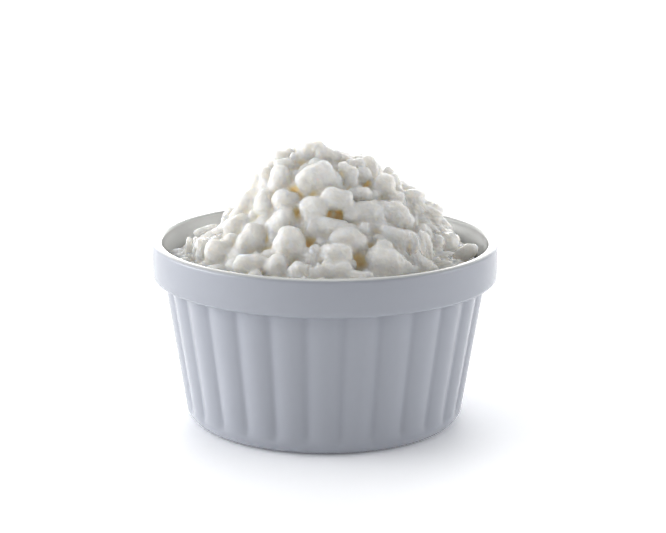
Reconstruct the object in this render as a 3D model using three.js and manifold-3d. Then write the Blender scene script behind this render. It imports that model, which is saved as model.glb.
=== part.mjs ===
// Cottage cheese bowl: a white fluted ramekin with a heap of cottage cheese.
//
// Millimetres, +Z up, the front towards -Y. The origin is the centre of the foot,
// on the surface that the bowl stands on. Two solids: the ramekin, and the cheese,
// which fills the cavity and stands over the rim as an uneven mound of curds.

import * as THREE from "three";
import { mergeVertices } from "three/addons/utils/BufferGeometryUtils.js";
import Module from "manifold-3d";

const wasm = await Module();
wasm.setup();

// ---------------------------------------------------------------- ramekin sizes

const RIM_RADIUS = 46;             // outside of the plain band round the mouth
const CREST_HEIGHT = 49.3;         // top of the rim over the foot
const LIP_RISE = 1;                // how far the lip's top is rounded
const BAND_HEIGHT = 10.1;          // crest to the band's lower edge
const BAND_CORNER = 1.2;           // rounding of the band's lower edge
const REED_TOP_RADIUS = 43.1;      // crests of the reeds, just under the band
const REED_FOOT_RADIUS = 37.4;     // crests of the reeds, where they fade out
const REED_FOOT_HEIGHT = 4;
const REED_COUNT = 28;             // one reed faces the front
const REED_RISE = 0.85;            // crest of a reed over the grooves beside it
const FOOT_CORNER = 5.2;           // rounding from the wall into the foot
const FOOT_RING_WIDTH = 3.2;       // flat ring that the bowl stands on
const FOOT_RECESS = 1.5;           // how far the underside is raised inside the ring
const RECESS_SLOPE = 1.4;          // breadth of the slope up to the underside
const BODY_WALL = 3.5;             // reed crest to cavity
const LIP_FLARE = 2.3;             // how far the cavity widens towards the lip
const FLARE_START = 34;            // height where the cavity begins to widen
const FLOOR_HEIGHT = 4.5;          // inside floor over the foot
const CAVITY_CORNER = 7;

const BAND_EDGE = CREST_HEIGHT - BAND_HEIGHT;
const WALL_SLOPE = (REED_TOP_RADIUS - REED_FOOT_RADIUS) / (BAND_EDGE - REED_FOOT_HEIGHT);
const SPRING_HEIGHT = CREST_HEIGHT - LIP_RISE;     // where the lip's rounding starts
const REED_END = REED_FOOT_HEIGHT * 1.9;           // the reeds run straight down to here
const GROOVE_FADE = { low: REED_FOOT_HEIGHT / 2, high: REED_FOOT_HEIGHT * 1.6 };

// How finely the curves are divided.
const REED_COLUMNS = 6 * REED_COUNT;
const PLAIN_COLUMNS = 3 * REED_COUNT;
const INNER_COLUMNS = PLAIN_COLUMNS / 2;
const CORE_COLUMNS = PLAIN_COLUMNS / 3;
const CAVITY_CORNER_STEPS = 3;
const FOOT_CORNER_STEPS = 5;
const BAND_CORNER_STEPS = 3;
const LIP_STEPS = 6;
const FLARE_SHARES = [0, 0.4, 0.7, 0.88];          // of the way up the flare

// ---------------------------------------------------------------- cheese sizes

const CHEESE_GAP = 0.3;            // clearance between cheese and glaze
const HULL_REACH = 42.8;           // half breadth of the heap where it meets the wall
const CURD_DEPTH = 3.4;            // how far the core lies under the curds' hull
const CORE_SPREAD = 1.1;           // the core's edge reaches past the wall, and is cut
const CORE_REACHES = [0.12, 0.24, 0.36, 0.48, 0.6, 0.74, 0.87, 1];

// The hull over the curds, from the peak out to the wall: how far out a level
// line lies (as a share of HULL_REACH), its height, and how far it stands off
// centre to the right.
const HULL_STATIONS = [
  { reach: 0.0, height: 75.0, shift: -4.5 },
  { reach: 0.17, height: 72.8, shift: -4.0 },
  { reach: 0.36, height: 69.0, shift: -1.2 },
  { reach: 0.46, height: 64.2, shift: 0.6 },
  { reach: 0.6, height: 58.3, shift: 2.6 },
  { reach: 0.74, height: 53.2, shift: 2.8 },
  { reach: 0.87, height: 49.2, shift: 1.6 },
  { reach: 1.0, height: 46.8, shift: 0.0 },
];

// The cheese lies lower on two sides: on the left down to the wall, and in a
// narrower dip on the right.
const LOW_SIDE = { angle: THREE.MathUtils.degToRad(150), drop: 4 };
const DIP = { angle: THREE.MathUtils.degToRad(5), drop: 3.4, start: 0.6, end: 0.8 };

// Curds of the front face. Each is placed by where it stands in a view from EYE:
// across and up from the centre of the mouth, then its length and breadth, how
// far its length is turned up from the level, and how far it stands out towards
// EYE. It lies on the hull behind.
const EYE = new THREE.Vector3(0, -579, 184);
const FRONT_CURDS = [
  // the crown
  [-3.5, 24.1, 4.8, 3.2, -10, 0.3], [-11.8, 21.9, 4.5, 2.4, 3, 0.2],
  [0.2, 22.2, 4.0, 3.5, -5, 0.4], [-11.3, 19.3, 4.8, 3.2, 5, 0.2],
  [-12.3, 15.3, 6.9, 4.3, 84, 0.8], [-16.1, 15.3, 6.1, 2.9, 84, 0.0],
  // the big curd and its neighbours
  [-2.7, 15.5, 8.8, 6.7, 18, 1.5], [0.7, 17.4, 6.9, 5.6, 40, 0.8],
  [4.5, 16.6, 6.9, 2.7, 88, -1.5], [6.9, 16.3, 5.6, 3.2, 84, 0.2],
  [12.0, 19.3, 6.1, 3.2, -62, 0.6], [15.2, 13.7, 6.9, 5.6, 62, 1.3],
  [9.6, 11.8, 4.5, 2.9, -6, 0.2],
  // the upper slope
  [2.6, 10.2, 8.3, 5.3, -8, 2.2], [-3.3, 7.0, 7.7, 6.7, 100, 1.0],
  [-10.2, 9.7, 7.2, 5.9, -38, 1.0], [-15.8, 9.4, 5.6, 5.1, 60, 0.4],
  [-19.8, 10.5, 4.5, 3.5, 75, 0.0], [-22.8, 6.2, 4.5, 4.0, 60, -0.2],
  // the pale cluster
  [10.9, 6.7, 8.5, 5.9, -6, 0.6], [17.6, 6.2, 8.0, 6.9, -30, 0.5],
  [22.9, 9.4, 7.5, 5.9, 60, 0.9], [18.6, 10.2, 4.5, 3.7, 10, 0.9],
  [13.6, 3.0, 5.9, 3.2, -10, -0.5], [21.0, 4.6, 4.8, 3.2, -10, 0.0],
  // the middle
  [-11.8, 4.3, 7.7, 5.3, 34, 1.4], [-20.1, -1.0, 8.5, 6.7, 58, 1.4],
  [-9.4, -1.8, 9.3, 8.0, 96, 2.2], [-23.3, 3.8, 4.3, 3.5, 30, 0.4],
  [-2.7, 1.4, 5.3, 4.5, 60, -0.9], [2.1, 3.3, 7.7, 3.5, -5, 0.5],
  [6.1, -1.3, 10.1, 6.7, -22, 1.6], [19.4, 0.1, 7.7, 5.3, -12, 0.6],
  // along the front rim
  [-20.9, -7.4, 5.3, 4.0, 0, 1.0], [-17.1, -7.4, 4.3, 3.7, 20, 0.8],
  [-12.6, -8.0, 6.7, 5.3, 70, 1.2], [-6.7, -9.0, 5.3, 3.5, 0, 0.6],
  [-2.5, -5.0, 5.3, 3.7, 80, 0.4], [-2.2, -9.3, 4.3, 3.2, 20, 0.4],
  [1.3, -4.0, 5.6, 3.5, 84, 0.8], [3.7, -8.5, 7.5, 4.5, 0, 1.0],
  [9.6, -10.1, 5.1, 2.7, 0, 0.2], [15.2, -3.2, 5.9, 4.3, 60, 1.2],
  [16.8, -6.6, 10.7, 7.5, -28, 1.6],
  // the right end
  [28.0, 6.5, 5.9, 3.7, -32, 0.0], [24.0, -2.1, 9.1, 3.5, -74, 1.0],
  [26.6, -2.1, 8.0, 2.7, -76, 0.6], [34.4, -1.5, 5.6, 5.1, 20, 0.8],
  [37.9, -4.2, 6.4, 3.2, 14, 0.8], [31.5, -6.4, 6.9, 2.4, -16, 0.6],
  // the folds at the left end
  [-31.6, 1.9, 5.9, 2.4, 16, 0.2], [-32.1, -3.4, 6.7, 4.0, -60, 1.0],
  [-27.6, -4.8, 8.0, 5.9, -16, 0.4], [-36.6, -3.4, 5.9, 1.9, 86, 0.6],
];
const FRONT_THICKNESS = 0.46;      // of a front curd, as a share of length and breadth
const FRONT_STOUTNESS = 1.1;       // most of its thickness, as a share of the breadth
const FRONT_PLUMPNESS = 1.08;      // the part that shows is a little less than the whole

// Everywhere else curds are strewn by an even rule with seeded sizes, the large
// ones first and the small ones into what is left.
const STREWN_SORTS = [
  { trials: 130, least: 7.6, most: 9.8 },
  { trials: 330, least: 6.0, most: 7.4 },
  { trials: 140, least: 4.8, most: 5.8 },
];
const STREWN_BREADTH = { least: 0.7, most: 0.96 };    // as a share of the length
const STREWN_THICKNESS = 0.9;      // as a share of the breadth
const STREWN_SPACING = 0.45;       // least distance, as a share of two lengths
const STREWN_REACH = 0.95;
const STREWN_SEED = 7;
const EVEN_REACH = 0.7548776662;   // steps of the even rule: over the plan's area,
const EVEN_TURN = 0.5698402910;    // and round the axis
const EVEN_START = 108;            // steps passed over first: from here the top fills well
const SEAT = 0.4;                  // how deep a curd sits, as a share of its breadth

// A curd is a ball of unit breadth with few sides. Its corners stand out a little
// over the true curd, so that its flat sides lie as far in, and are dented.
const FINE_LENGTH = 8;             // front curds over this get more sides
const FINE_BALL = 0.53;
const PLAIN_BALL = 0.56;
const DENTS = { least: 0.94, most: 1.06, seed: 21 };

// ---------------------------------------------------------------- mesh helpers

/** Repeatable random numbers from 0 to 1. */
function seeded(seed) {
  let state = seed;
  return () => {
    state = (state * 1664525 + 1013904223) % 4294967296;
    return state / 4294967296;
  };
}

/** Angle of column j of n; column 0 is in a groove, half a reed off the front. */
function columnAngle(j, n) {
  return -Math.PI / 2 + ((j / n) * REED_COUNT + 0.5) * ((2 * Math.PI) / REED_COUNT);
}

/** A ring of points round the Z axis, for ringSurface. */
function ring(columns, radius, height) {
  const points = [];
  for (let j = 0; j < columns; j += 1) {
    const angle = columnAngle(j, columns);
    const r = typeof radius === "function" ? radius(angle) : radius;
    points.push(new THREE.Vector3(r * Math.cos(angle), r * Math.sin(angle), height));
  }
  return points;
}

/** Points [r, z] of an elliptical arc in the profile's plane, both ends included. */
function arc(centre, radii, start, end, steps) {
  return Array.from({ length: steps + 1 }, (_, i) => {
    const angle = THREE.MathUtils.lerp(start, end, i / steps);
    return [centre[0] + radii[0] * Math.cos(angle), centre[1] + radii[1] * Math.sin(angle)];
  });
}

/**
 * Closed surface through a row of rings, from one pole to the other. The solid
 * lies to the right of the way from the first pole to the last. Neighbouring
 * rings have as many points, or twice or half as many.
 */
function ringSurface(firstPole, rings, lastPole) {
  const points = [firstPole, ...rings.flat(), lastPole];
  const starts = [];
  let count = 1;
  for (const ringPoints of rings) {
    starts.push(count);
    count += ringPoints.length;
  }
  const at = (i, j) => starts[i] + (j % rings[i].length);
  const faces = [];
  const last = rings.length - 1;
  for (let j = 0; j < rings[0].length; j += 1) {
    faces.push(0, at(0, j), at(0, j + 1));
  }
  for (let i = 0; i < last; i += 1) {
    const here = rings[i].length;
    const next = rings[i + 1].length;
    for (let j = 0; j < Math.min(here, next); j += 1) {
      const k = 2 * j;
      if (here === next) {
        faces.push(at(i, j), at(i + 1, j), at(i + 1, j + 1));
        faces.push(at(i, j), at(i + 1, j + 1), at(i, j + 1));
      } else if (here < next) {
        faces.push(at(i, j), at(i + 1, k), at(i + 1, k + 1));
        faces.push(at(i, j), at(i + 1, k + 1), at(i, j + 1));
        faces.push(at(i, j + 1), at(i + 1, k + 1), at(i + 1, k + 2));
      } else {
        faces.push(at(i, k), at(i + 1, j), at(i, k + 1));
        faces.push(at(i, k + 1), at(i + 1, j), at(i + 1, j + 1));
        faces.push(at(i, k + 1), at(i + 1, j + 1), at(i, k + 2));
      }
    }
  }
  for (let j = 0; j < rings[last].length; j += 1) {
    faces.push(at(last, j), count, at(last, j + 1));
  }
  const geometry = new THREE.BufferGeometry().setFromPoints(points);
  geometry.setIndex(faces);
  return geometry;
}

/** A geometry with its positions alone, and the points that meet made one. */
function welded(geometry) {
  const bare = geometry.clone();
  bare.deleteAttribute("normal");
  bare.deleteAttribute("uv");
  return mergeVertices(bare, 1e-4);
}

/** Closed geometry as a solid that can be joined and cut. */
function toSolid(geometry) {
  const shape = welded(geometry);
  return new wasm.Manifold(new wasm.Mesh({
    numProp: 3,
    vertProperties: new Float32Array(shape.attributes.position.array),
    triVerts: new Uint32Array(shape.index.array),
  }));
}

/** Solid back to a geometry. */
function toGeometry(solid) {
  const mesh = solid.getMesh();
  const geometry = new THREE.BufferGeometry();
  geometry.setAttribute("position", new THREE.BufferAttribute(mesh.vertProperties, 3));
  geometry.setIndex(new THREE.BufferAttribute(mesh.triVerts, 1));
  return geometry;
}

// ---------------------------------------------------------------- the ramekin

/** Radius of the reeds' crests, on the straight taper of the body. */
function bodyRadius(z) {
  return REED_FOOT_RADIUS + (z - REED_FOOT_HEIGHT) * WALL_SLOPE;
}

/** Radius of the cavity: parallel to the body, then widening towards the lip. */
function cavityRadius(z) {
  const rise = Math.max(0, (z - FLARE_START) / (SPRING_HEIGHT - FLARE_START));
  return bodyRadius(z) - BODY_WALL + LIP_FLARE * rise * rise;
}

/** Points [r, z] of the cavity's widening wall, drawn in by a clearance. */
function flarePoints(clearance) {
  return FLARE_SHARES.map((share) => {
    const z = THREE.MathUtils.lerp(FLARE_START, SPRING_HEIGHT, share);
    return [cavityRadius(z) - clearance, z];
  });
}

/** Points [r, z] of a corner arc that meets a floor and a tapering wall inset in the body. */
function cornerArc(inset, floor, corner, steps) {
  const centre = bodyRadius(floor + corner) - inset - corner * Math.hypot(1, WALL_SLOPE);
  return arc([centre, floor + corner], [corner, corner], -Math.PI / 2, -Math.atan(WALL_SLOPE), steps);
}

/** Rise of the reeds at an angle: 0 in a groove, 1 on a crest. */
function reedRise(angle) {
  const turn = ((angle + Math.PI / 2) * REED_COUNT) / (2 * Math.PI) + 0.5;
  const across = 2 * (turn - Math.floor(turn)) - 1;
  return 1 - across * across;
}

/** A ring of the reeded wall whose crests lie at radius; depth 0 is plain. */
function reededRing(radius, height, depth) {
  return ring(REED_COLUMNS, (angle) => radius - REED_RISE * depth * (1 - reedRise(angle)), height);
}

/** How deep the grooves are at a height: they run out over the rounded foot. */
function grooveDepth(z) {
  return THREE.MathUtils.smoothstep(z, GROOVE_FADE.low, GROOVE_FADE.high);
}

function ramekinGeometry() {
  const plain = ([r, z]) => ring(PLAIN_COLUMNS, r, z);
  const inner = ([r, z]) => ring(INNER_COLUMNS, r, z);
  const [flareStart, ...flare] = flarePoints(0);
  const cavityCorner = cornerArc(BODY_WALL, FLOOR_HEIGHT, CAVITY_CORNER, CAVITY_CORNER_STEPS);
  const footCorner = cornerArc(0, 0, FOOT_CORNER, FOOT_CORNER_STEPS).reverse();
  const lipInside = cavityRadius(SPRING_HEIGHT);
  const lipCentre = [(RIM_RADIUS + lipInside) / 2, SPRING_HEIGHT];
  const lipRadii = [(RIM_RADIUS - lipInside) / 2, LIP_RISE];
  const lip = arc(lipCentre, lipRadii, Math.PI, 0, LIP_STEPS);
  const bandCorner = arc(
    [RIM_RADIUS - BAND_CORNER, BAND_EDGE + BAND_CORNER],
    [BAND_CORNER, BAND_CORNER], 0, -Math.PI / 2, BAND_CORNER_STEPS);
  const [footRadius] = footCorner[FOOT_CORNER_STEPS];
  const ringInside = footRadius - FOOT_RING_WIDTH;
  const rings = [
    ...cavityCorner.map(inner),
    inner(flareStart),
    ...flare.map(plain),
    ...lip.map(plain),
    ...bandCorner.map(plain),
    reededRing(REED_TOP_RADIUS, BAND_EDGE, 1),
    reededRing(bodyRadius(REED_END), REED_END, 1),
    ...footCorner.slice(0, -1).map(([r, z]) => reededRing(r, z, grooveDepth(z))),
    plain([footRadius, 0]),
    plain([ringInside, 0]),
    plain([ringInside - RECESS_SLOPE, FOOT_RECESS]),
  ];
  const floor = new THREE.Vector3(0, 0, FLOOR_HEIGHT);
  const underside = new THREE.Vector3(0, 0, FOOT_RECESS);
  return ringSurface(floor, rings, underside);
}

// ---------------------------------------------------------------- the cheese

/** Value of a named field of HULL_STATIONS at a reach, on a smooth curve. */
function stationValue(field, reach) {
  const stations = HULL_STATIONS;
  const final = stations.length - 1;
  let i = 0;
  while (i < final - 1 && reach > stations[i + 1].reach) i += 1;
  const slope = (k) => {
    const before = stations[Math.max(0, k - 1)];
    const after = stations[Math.min(final, k + 1)];
    return k === 0 ? 0 : (after[field] - before[field]) / (after.reach - before.reach);
  };
  const span = stations[i + 1].reach - stations[i].reach;
  const s = (reach - stations[i].reach) / span;
  return stations[i][field] * (1 + 2 * s) * (1 - s) ** 2
    + slope(i) * span * s * (1 - s) ** 2
    + stations[i + 1][field] * s * s * (3 - 2 * s)
    + slope(i + 1) * span * s * s * (s - 1);
}

/** Point of the curds' hull at a reach (0 the peak, 1 the wall) and an angle. */
function hullPoint(reach, angle) {
  const radius = reach * HULL_REACH;
  const low = Math.max(0, Math.cos(angle - LOW_SIDE.angle)) ** 2 * reach ** 3;
  const narrow = Math.max(0, Math.cos(angle - DIP.angle)) ** 4;
  const dip = narrow * THREE.MathUtils.smoothstep(reach, DIP.start, DIP.end);
  return new THREE.Vector3(
    stationValue("shift", reach) + radius * Math.cos(angle),
    radius * Math.sin(angle),
    stationValue("height", reach) - LOW_SIDE.drop * low - DIP.drop * dip);
}

/** Height of the hull over a spot on the plan, by closing in on its reach. */
function hullHeight(x, y) {
  const halvings = 30;
  let inner = 0;
  let outer = 1;
  for (let i = 0; i < halvings; i += 1) {
    const middle = (inner + outer) / 2;
    const away = Math.hypot(x - stationValue("shift", middle), y);
    if (away > middle * HULL_REACH) inner = middle;
    else outer = middle;
  }
  const angle = Math.atan2(y, x - stationValue("shift", outer));
  return hullPoint(outer, angle).z;
}

/** Direction straight out of the hull at a reach and an angle. */
function hullNormal(reach, angle) {
  const step = 0.02;
  const out = hullPoint(Math.min(1, reach + step), angle);
  out.sub(hullPoint(Math.max(0, reach - step), angle));
  const round = new THREE.Vector3(-Math.sin(angle), Math.cos(angle), 0);
  return out.cross(round).normalize();
}

/** Where a sight line from EYE first meets the hull, or passes closest to it. */
function sightedOnHull(across, up) {
  const step = 0.25;
  const mouth = new THREE.Vector3(0, 0, CREST_HEIGHT);
  const sight = mouth.clone().sub(EYE).normalize();
  const level = new THREE.Vector3(1, 0, 0);
  const upward = level.clone().cross(sight);
  const target = mouth.addScaledVector(level, across).addScaledVector(upward, up);
  const ray = target.clone().sub(EYE).normalize();
  let best = null;
  let least = Infinity;
  for (let s = -HULL_REACH; s <= HULL_REACH; s += step) {
    const point = target.clone().addScaledVector(ray, s);
    if (Math.hypot(point.x, point.y) > HULL_REACH) continue;
    const clearance = point.z - hullHeight(point.x, point.y);
    if (clearance < least) {
      least = clearance;
      best = point;
    }
    if (clearance <= 0) break;
  }
  return { point: best, ray };
}

/** A direction turned by an angle from one of two square directions to the other. */
function turned(first, second, angle) {
  return first.clone().multiplyScalar(Math.cos(angle)).addScaledVector(second, Math.sin(angle));
}

/** A front curd as its centre, its three axes and its three sizes. */
function frontCurd([across, up, length, breadth, tilt, rise]) {
  const { point, ray } = sightedOnHull(across, up);
  const level = new THREE.Vector3(1, 0, 0);
  const upward = level.clone().cross(ray).normalize();
  const along = turned(level, upward, THREE.MathUtils.degToRad(tilt));
  const beside = along.clone().cross(ray).normalize().negate();
  const thickness = Math.min((length + breadth) * FRONT_THICKNESS, breadth * FRONT_STOUTNESS);
  return {
    centre: point.addScaledVector(ray, thickness * SEAT - rise),
    axes: [along, beside, along.clone().cross(beside)],
    sizes: [length * FRONT_PLUMPNESS, breadth * FRONT_PLUMPNESS, thickness],
    fine: length > FINE_LENGTH,
  };
}

/** Curds strewn over the rest of the hull, clear of the ones already there. */
function strewnCurds(placed) {
  const random = seeded(STREWN_SEED);
  const found = [];
  const sorts = STREWN_SORTS.flatMap((sort) => Array(sort.trials).fill(sort));
  for (const [k, sort] of sorts.entries()) {
    const step = k + EVEN_START;
    const reach = Math.sqrt((step * EVEN_REACH) % 1) * STREWN_REACH;
    const angle = ((step * EVEN_TURN) % 1) * 2 * Math.PI;
    const length = THREE.MathUtils.lerp(sort.least, sort.most, random());
    const share = THREE.MathUtils.lerp(STREWN_BREADTH.least, STREWN_BREADTH.most, random());
    const tilt = random() * Math.PI;
    const breadth = length * share;
    const normal = hullNormal(reach, angle);
    const centre = hullPoint(reach, angle).addScaledVector(normal, -breadth * SEAT);
    const crowded = [...placed, ...found].some((other) => {
      const spacing = STREWN_SPACING * (other.sizes[0] + length);
      return other.centre.distanceTo(centre) < spacing;
    });
    if (crowded) continue;
    const level = new THREE.Vector3(0, 0, 1).cross(normal).normalize();
    const along = turned(level, normal.clone().cross(level), tilt);
    const beside = normal.clone().cross(along);
    const sizes = [length, breadth, breadth * STREWN_THICKNESS];
    found.push({ centre, axes: [along, beside, normal], sizes, fine: false });
  }
  return found;
}

/** A curd's few-sided, slightly dented solid. */
function curdSolid(curd, random) {
  const shape = welded(curd.fine
    ? new THREE.IcosahedronGeometry(FINE_BALL, 1)
    : new THREE.OctahedronGeometry(PLAIN_BALL, 1));
  const position = shape.attributes.position;
  const vertex = new THREE.Vector3();
  for (let i = 0; i < position.count; i += 1) {
    const dent = THREE.MathUtils.lerp(DENTS.least, DENTS.most, random());
    vertex.fromBufferAttribute(position, i).multiplyScalar(dent);
    position.setXYZ(i, vertex.x, vertex.y, vertex.z);
  }
  const place = new THREE.Matrix4().makeBasis(...curd.axes);
  place.scale(new THREE.Vector3(...curd.sizes)).setPosition(curd.centre);
  shape.applyMatrix4(place);
  return toSolid(shape);
}

/** The cavity less the clearance, open-ended upwards: the heap is cut to it. */
function cavityPlug() {
  const top = CREST_HEIGHT * 2;
  const floor = FLOOR_HEIGHT + CHEESE_GAP;
  const mouth = cavityRadius(SPRING_HEIGHT) - CHEESE_GAP;
  const profile = [
    ...cornerArc(BODY_WALL + CHEESE_GAP, floor, CAVITY_CORNER, CAVITY_CORNER_STEPS),
    ...flarePoints(CHEESE_GAP),
    [mouth, SPRING_HEIGHT],
    [mouth, top],
  ];
  const rings = profile.reverse().map(([r, z]) => ring(INNER_COLUMNS, r, z));
  return toSolid(ringSurface(new THREE.Vector3(0, 0, top), rings, new THREE.Vector3(0, 0, floor)));
}

/** The bare mound under the curds, wider and deeper than the cavity. */
function moundCore() {
  const sink = new THREE.Vector3(0, 0, -CURD_DEPTH);
  const rings = CORE_REACHES.map((reach) => Array.from({ length: CORE_COLUMNS }, (_, j) => (
    hullPoint(reach, columnAngle(j, CORE_COLUMNS)).add(sink))));
  const edge = rings[rings.length - 1];
  const wide = edge.map(({ x, y, z }) => (
    new THREE.Vector3(x * CORE_SPREAD, y * CORE_SPREAD, z - CURD_DEPTH / 2)));
  const under = wide.map(({ x, y }) => new THREE.Vector3(x, y, 0));
  const peak = hullPoint(0, 0).add(sink);
  return toSolid(ringSurface(peak, [...rings, wide, under], new THREE.Vector3(0, 0, 0)));
}

/** The largest piece of a solid: loose scraps and sealed hollows are dropped. */
function mainPiece(solid) {
  const pieces = solid.decompose();
  return pieces.reduce((best, piece) => (piece.volume() > best.volume() ? piece : best));
}

function cheeseGeometry() {
  const front = FRONT_CURDS.map(frontCurd);
  const dents = seeded(DENTS.seed);
  let heap = moundCore();
  for (const curd of [...front, ...strewnCurds(front)]) {
    heap = heap.add(curdSolid(curd, dents));
  }
  return toGeometry(mainPiece(heap.intersect(cavityPlug())));
}

// ---------------------------------------------------------------- the object

/** A named mesh with its own material. */
function node(name, geometry, material) {
  geometry.computeVertexNormals();
  const mesh = new THREE.Mesh(geometry, material);
  mesh.name = name;
  return mesh;
}

const GLAZE = new THREE.MeshStandardMaterial({
  name: "white_glaze", color: 0xe9ebf0, roughness: 0.3, metalness: 0,
});
const CHEESE = new THREE.MeshStandardMaterial({
  name: "fresh_cheese", color: 0xf3f0e6, roughness: 0.45, metalness: 0,
});

const bowl = new THREE.Group();
bowl.name = "cottage_cheese_bowl";
bowl.add(node("ramekin", ramekinGeometry(), GLAZE));
bowl.add(node("cottage_cheese", cheeseGeometry(), CHEESE));

export default bowl;
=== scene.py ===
"""Looks of a cottage cheese bowl: a white fluted ramekin with its heap of curds.

The frame holds the true solids. Here the ramekin gets its fine glazed surface, and
the heap gets its real curds, fused on the same mound by the same rule. Sizes are in
millimetres, and become metres where a mesh is made.
"""

import itertools
import logging
import math
from collections.abc import Iterator
from dataclasses import dataclass, field
from enum import Enum

import bpy
import numpy as np
from mathutils import Matrix


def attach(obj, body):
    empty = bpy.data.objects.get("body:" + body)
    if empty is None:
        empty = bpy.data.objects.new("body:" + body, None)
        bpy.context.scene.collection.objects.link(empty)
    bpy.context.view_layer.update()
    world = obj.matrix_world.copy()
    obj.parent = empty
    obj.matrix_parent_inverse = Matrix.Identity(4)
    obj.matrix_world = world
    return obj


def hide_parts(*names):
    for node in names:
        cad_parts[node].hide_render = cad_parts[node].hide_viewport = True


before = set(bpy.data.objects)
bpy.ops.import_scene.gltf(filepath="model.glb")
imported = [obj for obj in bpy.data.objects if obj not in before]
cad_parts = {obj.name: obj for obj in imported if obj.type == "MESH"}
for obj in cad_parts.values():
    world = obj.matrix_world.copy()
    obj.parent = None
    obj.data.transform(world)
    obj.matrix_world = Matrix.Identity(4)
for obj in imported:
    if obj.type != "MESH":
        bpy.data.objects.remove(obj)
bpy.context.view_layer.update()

logging.basicConfig(level=logging.INFO, format="%(message)s")
log = logging.getLogger("cottage_cheese_bowl")

MM = 0.001
RIGHT = np.array([1.0, 0, 0])

Colour = tuple[float, float, float]
Pair = tuple[float, float]
Socket = bpy.types.NodeSocket


class Slot(Enum):
    """The record's material slots."""

    GLAZE = "white_glaze"
    CHEESE = "fresh_cheese"


# ------------------------------------------------------------------ mesh helpers


def unit(vectors: np.ndarray) -> np.ndarray:
    """Vectors divided by their lengths, along the last axis."""
    return vectors / np.maximum(np.linalg.norm(vectors, axis=-1, keepdims=True), 1e-12)


def new_object(name: str, vertices: np.ndarray, faces: list) -> bpy.types.Object:
    """Makes an object with a mesh and links it to the scene.

    Args:
        name: Name of the object.
        vertices: Points in millimetres, one row each.
        faces: Arrays of vertex indices, each with one face a row.

    Returns:
        The new object, at the origin.
    """
    mesh = bpy.data.meshes.new(name)
    rows = [row for block in faces for row in block.tolist()]
    mesh.from_pydata((vertices * MM).tolist(), [], rows)
    made = bpy.data.objects.new(name, mesh)
    bpy.context.scene.collection.objects.link(made)
    return made


def make_piece(name: str, vertices: np.ndarray, faces: list, node: str) -> bpy.types.Object:
    """Makes a smooth mesh that stands for a CAD node and rides on the one body.

    Args:
        name: Name of the piece.
        vertices: Points in millimetres, one row each.
        faces: Arrays of vertex indices, each with one face a row.
        node: CAD node that the piece stands for.

    Returns:
        The new object, at the origin.
    """
    piece = new_object(name, vertices, faces)
    piece.data.polygons.foreach_set("use_smooth", np.ones(len(piece.data.polygons), dtype=bool))
    piece.data.update()
    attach(piece, "root")
    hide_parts(node)
    return piece


def set_attribute(piece: bpy.types.Object, name: str, values: np.ndarray) -> None:
    """Stores one number a vertex on a piece's mesh, for its material to read."""
    attribute = piece.data.attributes.new(name, "FLOAT", "POINT")
    attribute.data.foreach_set("value", values.astype(np.float32))


def capped_faces(rings: int, columns: int) -> list:
    """Faces of a closed surface whose points are a pole, rings of columns, and a pole.

    Args:
        rings: Number of rings between the poles.
        columns: Points in a ring.

    Returns:
        The triangles at the first pole, the quads, and the triangles at the last pole.
    """
    index = 1 + np.arange(rings * columns).reshape(rings, columns)
    following = np.roll(index, -1, axis=1)
    first = np.zeros(columns, dtype=int)
    last = np.full(columns, rings * columns + 1)
    opening = np.stack([first, index[0], following[0]], axis=-1)
    sides = np.stack([index[:-1], index[1:], following[1:], following[:-1]], axis=-1)
    closing = np.stack([index[-1], last, following[-1]], axis=-1)
    return [opening, sides.reshape(-1, 4), closing]


def turned_surface(radius: np.ndarray, height: np.ndarray, angle: np.ndarray) -> tuple[np.ndarray, list]:
    """Closed surface of two parameters, a station on a profile and an angle round Z.

    A point is (radius cos angle, radius sin angle, height). The first and the last
    station are poles on the axis.

    Args:
        radius: One row for each station between the poles, one column for each angle.
        height: Height of every station, the two poles included.
        angle: Angle of every column.

    Returns:
        The vertices, and the faces as blocks of triangles and quads.
    """
    level = np.repeat(height[1:-1, None], radius.shape[1], axis=1)
    around = np.stack([radius * np.cos(angle), radius * np.sin(angle), level], axis=-1)
    poles = np.array([[0, 0, height[0]], [0, 0, height[-1]]])
    vertices = np.concatenate([poles[:1], around.reshape(-1, 3), poles[1:]])
    return vertices, capped_faces(*radius.shape)


def arc(centre: Pair, radii: Pair, start: float, end: float, steps: int) -> np.ndarray:
    """Points [r, z] of an elliptical arc in the profile's plane, both ends included."""
    angle = np.linspace(start, end, steps + 1)
    return np.stack([centre[0] + radii[0] * np.cos(angle), centre[1] + radii[1] * np.sin(angle)], axis=-1)


def straight(start: Pair, end: Pair, steps: int) -> np.ndarray:
    """Points [r, z] of a straight stretch, without its two ends."""
    share = np.linspace(0, 1, steps + 1)[1:-1, None]
    return np.array(start) + share * (np.array(end) - np.array(start))


def smoothstep(value: np.ndarray, low: float, high: float) -> np.ndarray:
    """0 below low, 1 above high, and an even S between them."""
    share = np.clip((value - low) / (high - low), 0, 1)
    return share * share * (3 - 2 * share)


# ------------------------------------------------------------------ noise

SEED_SHIFT = 17.31
HASH_STEPS = np.array([73856093, 19349663, 83492791])
HASH_ROUNDS = ((13, 1274126177), (16, 2246822519))
LARGEST_WORD = 0xFFFFFFFF
HALF_WORD = 2147483648.0
COARSE_SHARE = 0.62
FINE_SHARE = 0.38
FINE_CELL = 0.61
FINE_TURN = np.array([[0.36, 0.48, -0.8], [-0.8, 0.6, 0], [0.48, 0.64, 0.6]])


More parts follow.
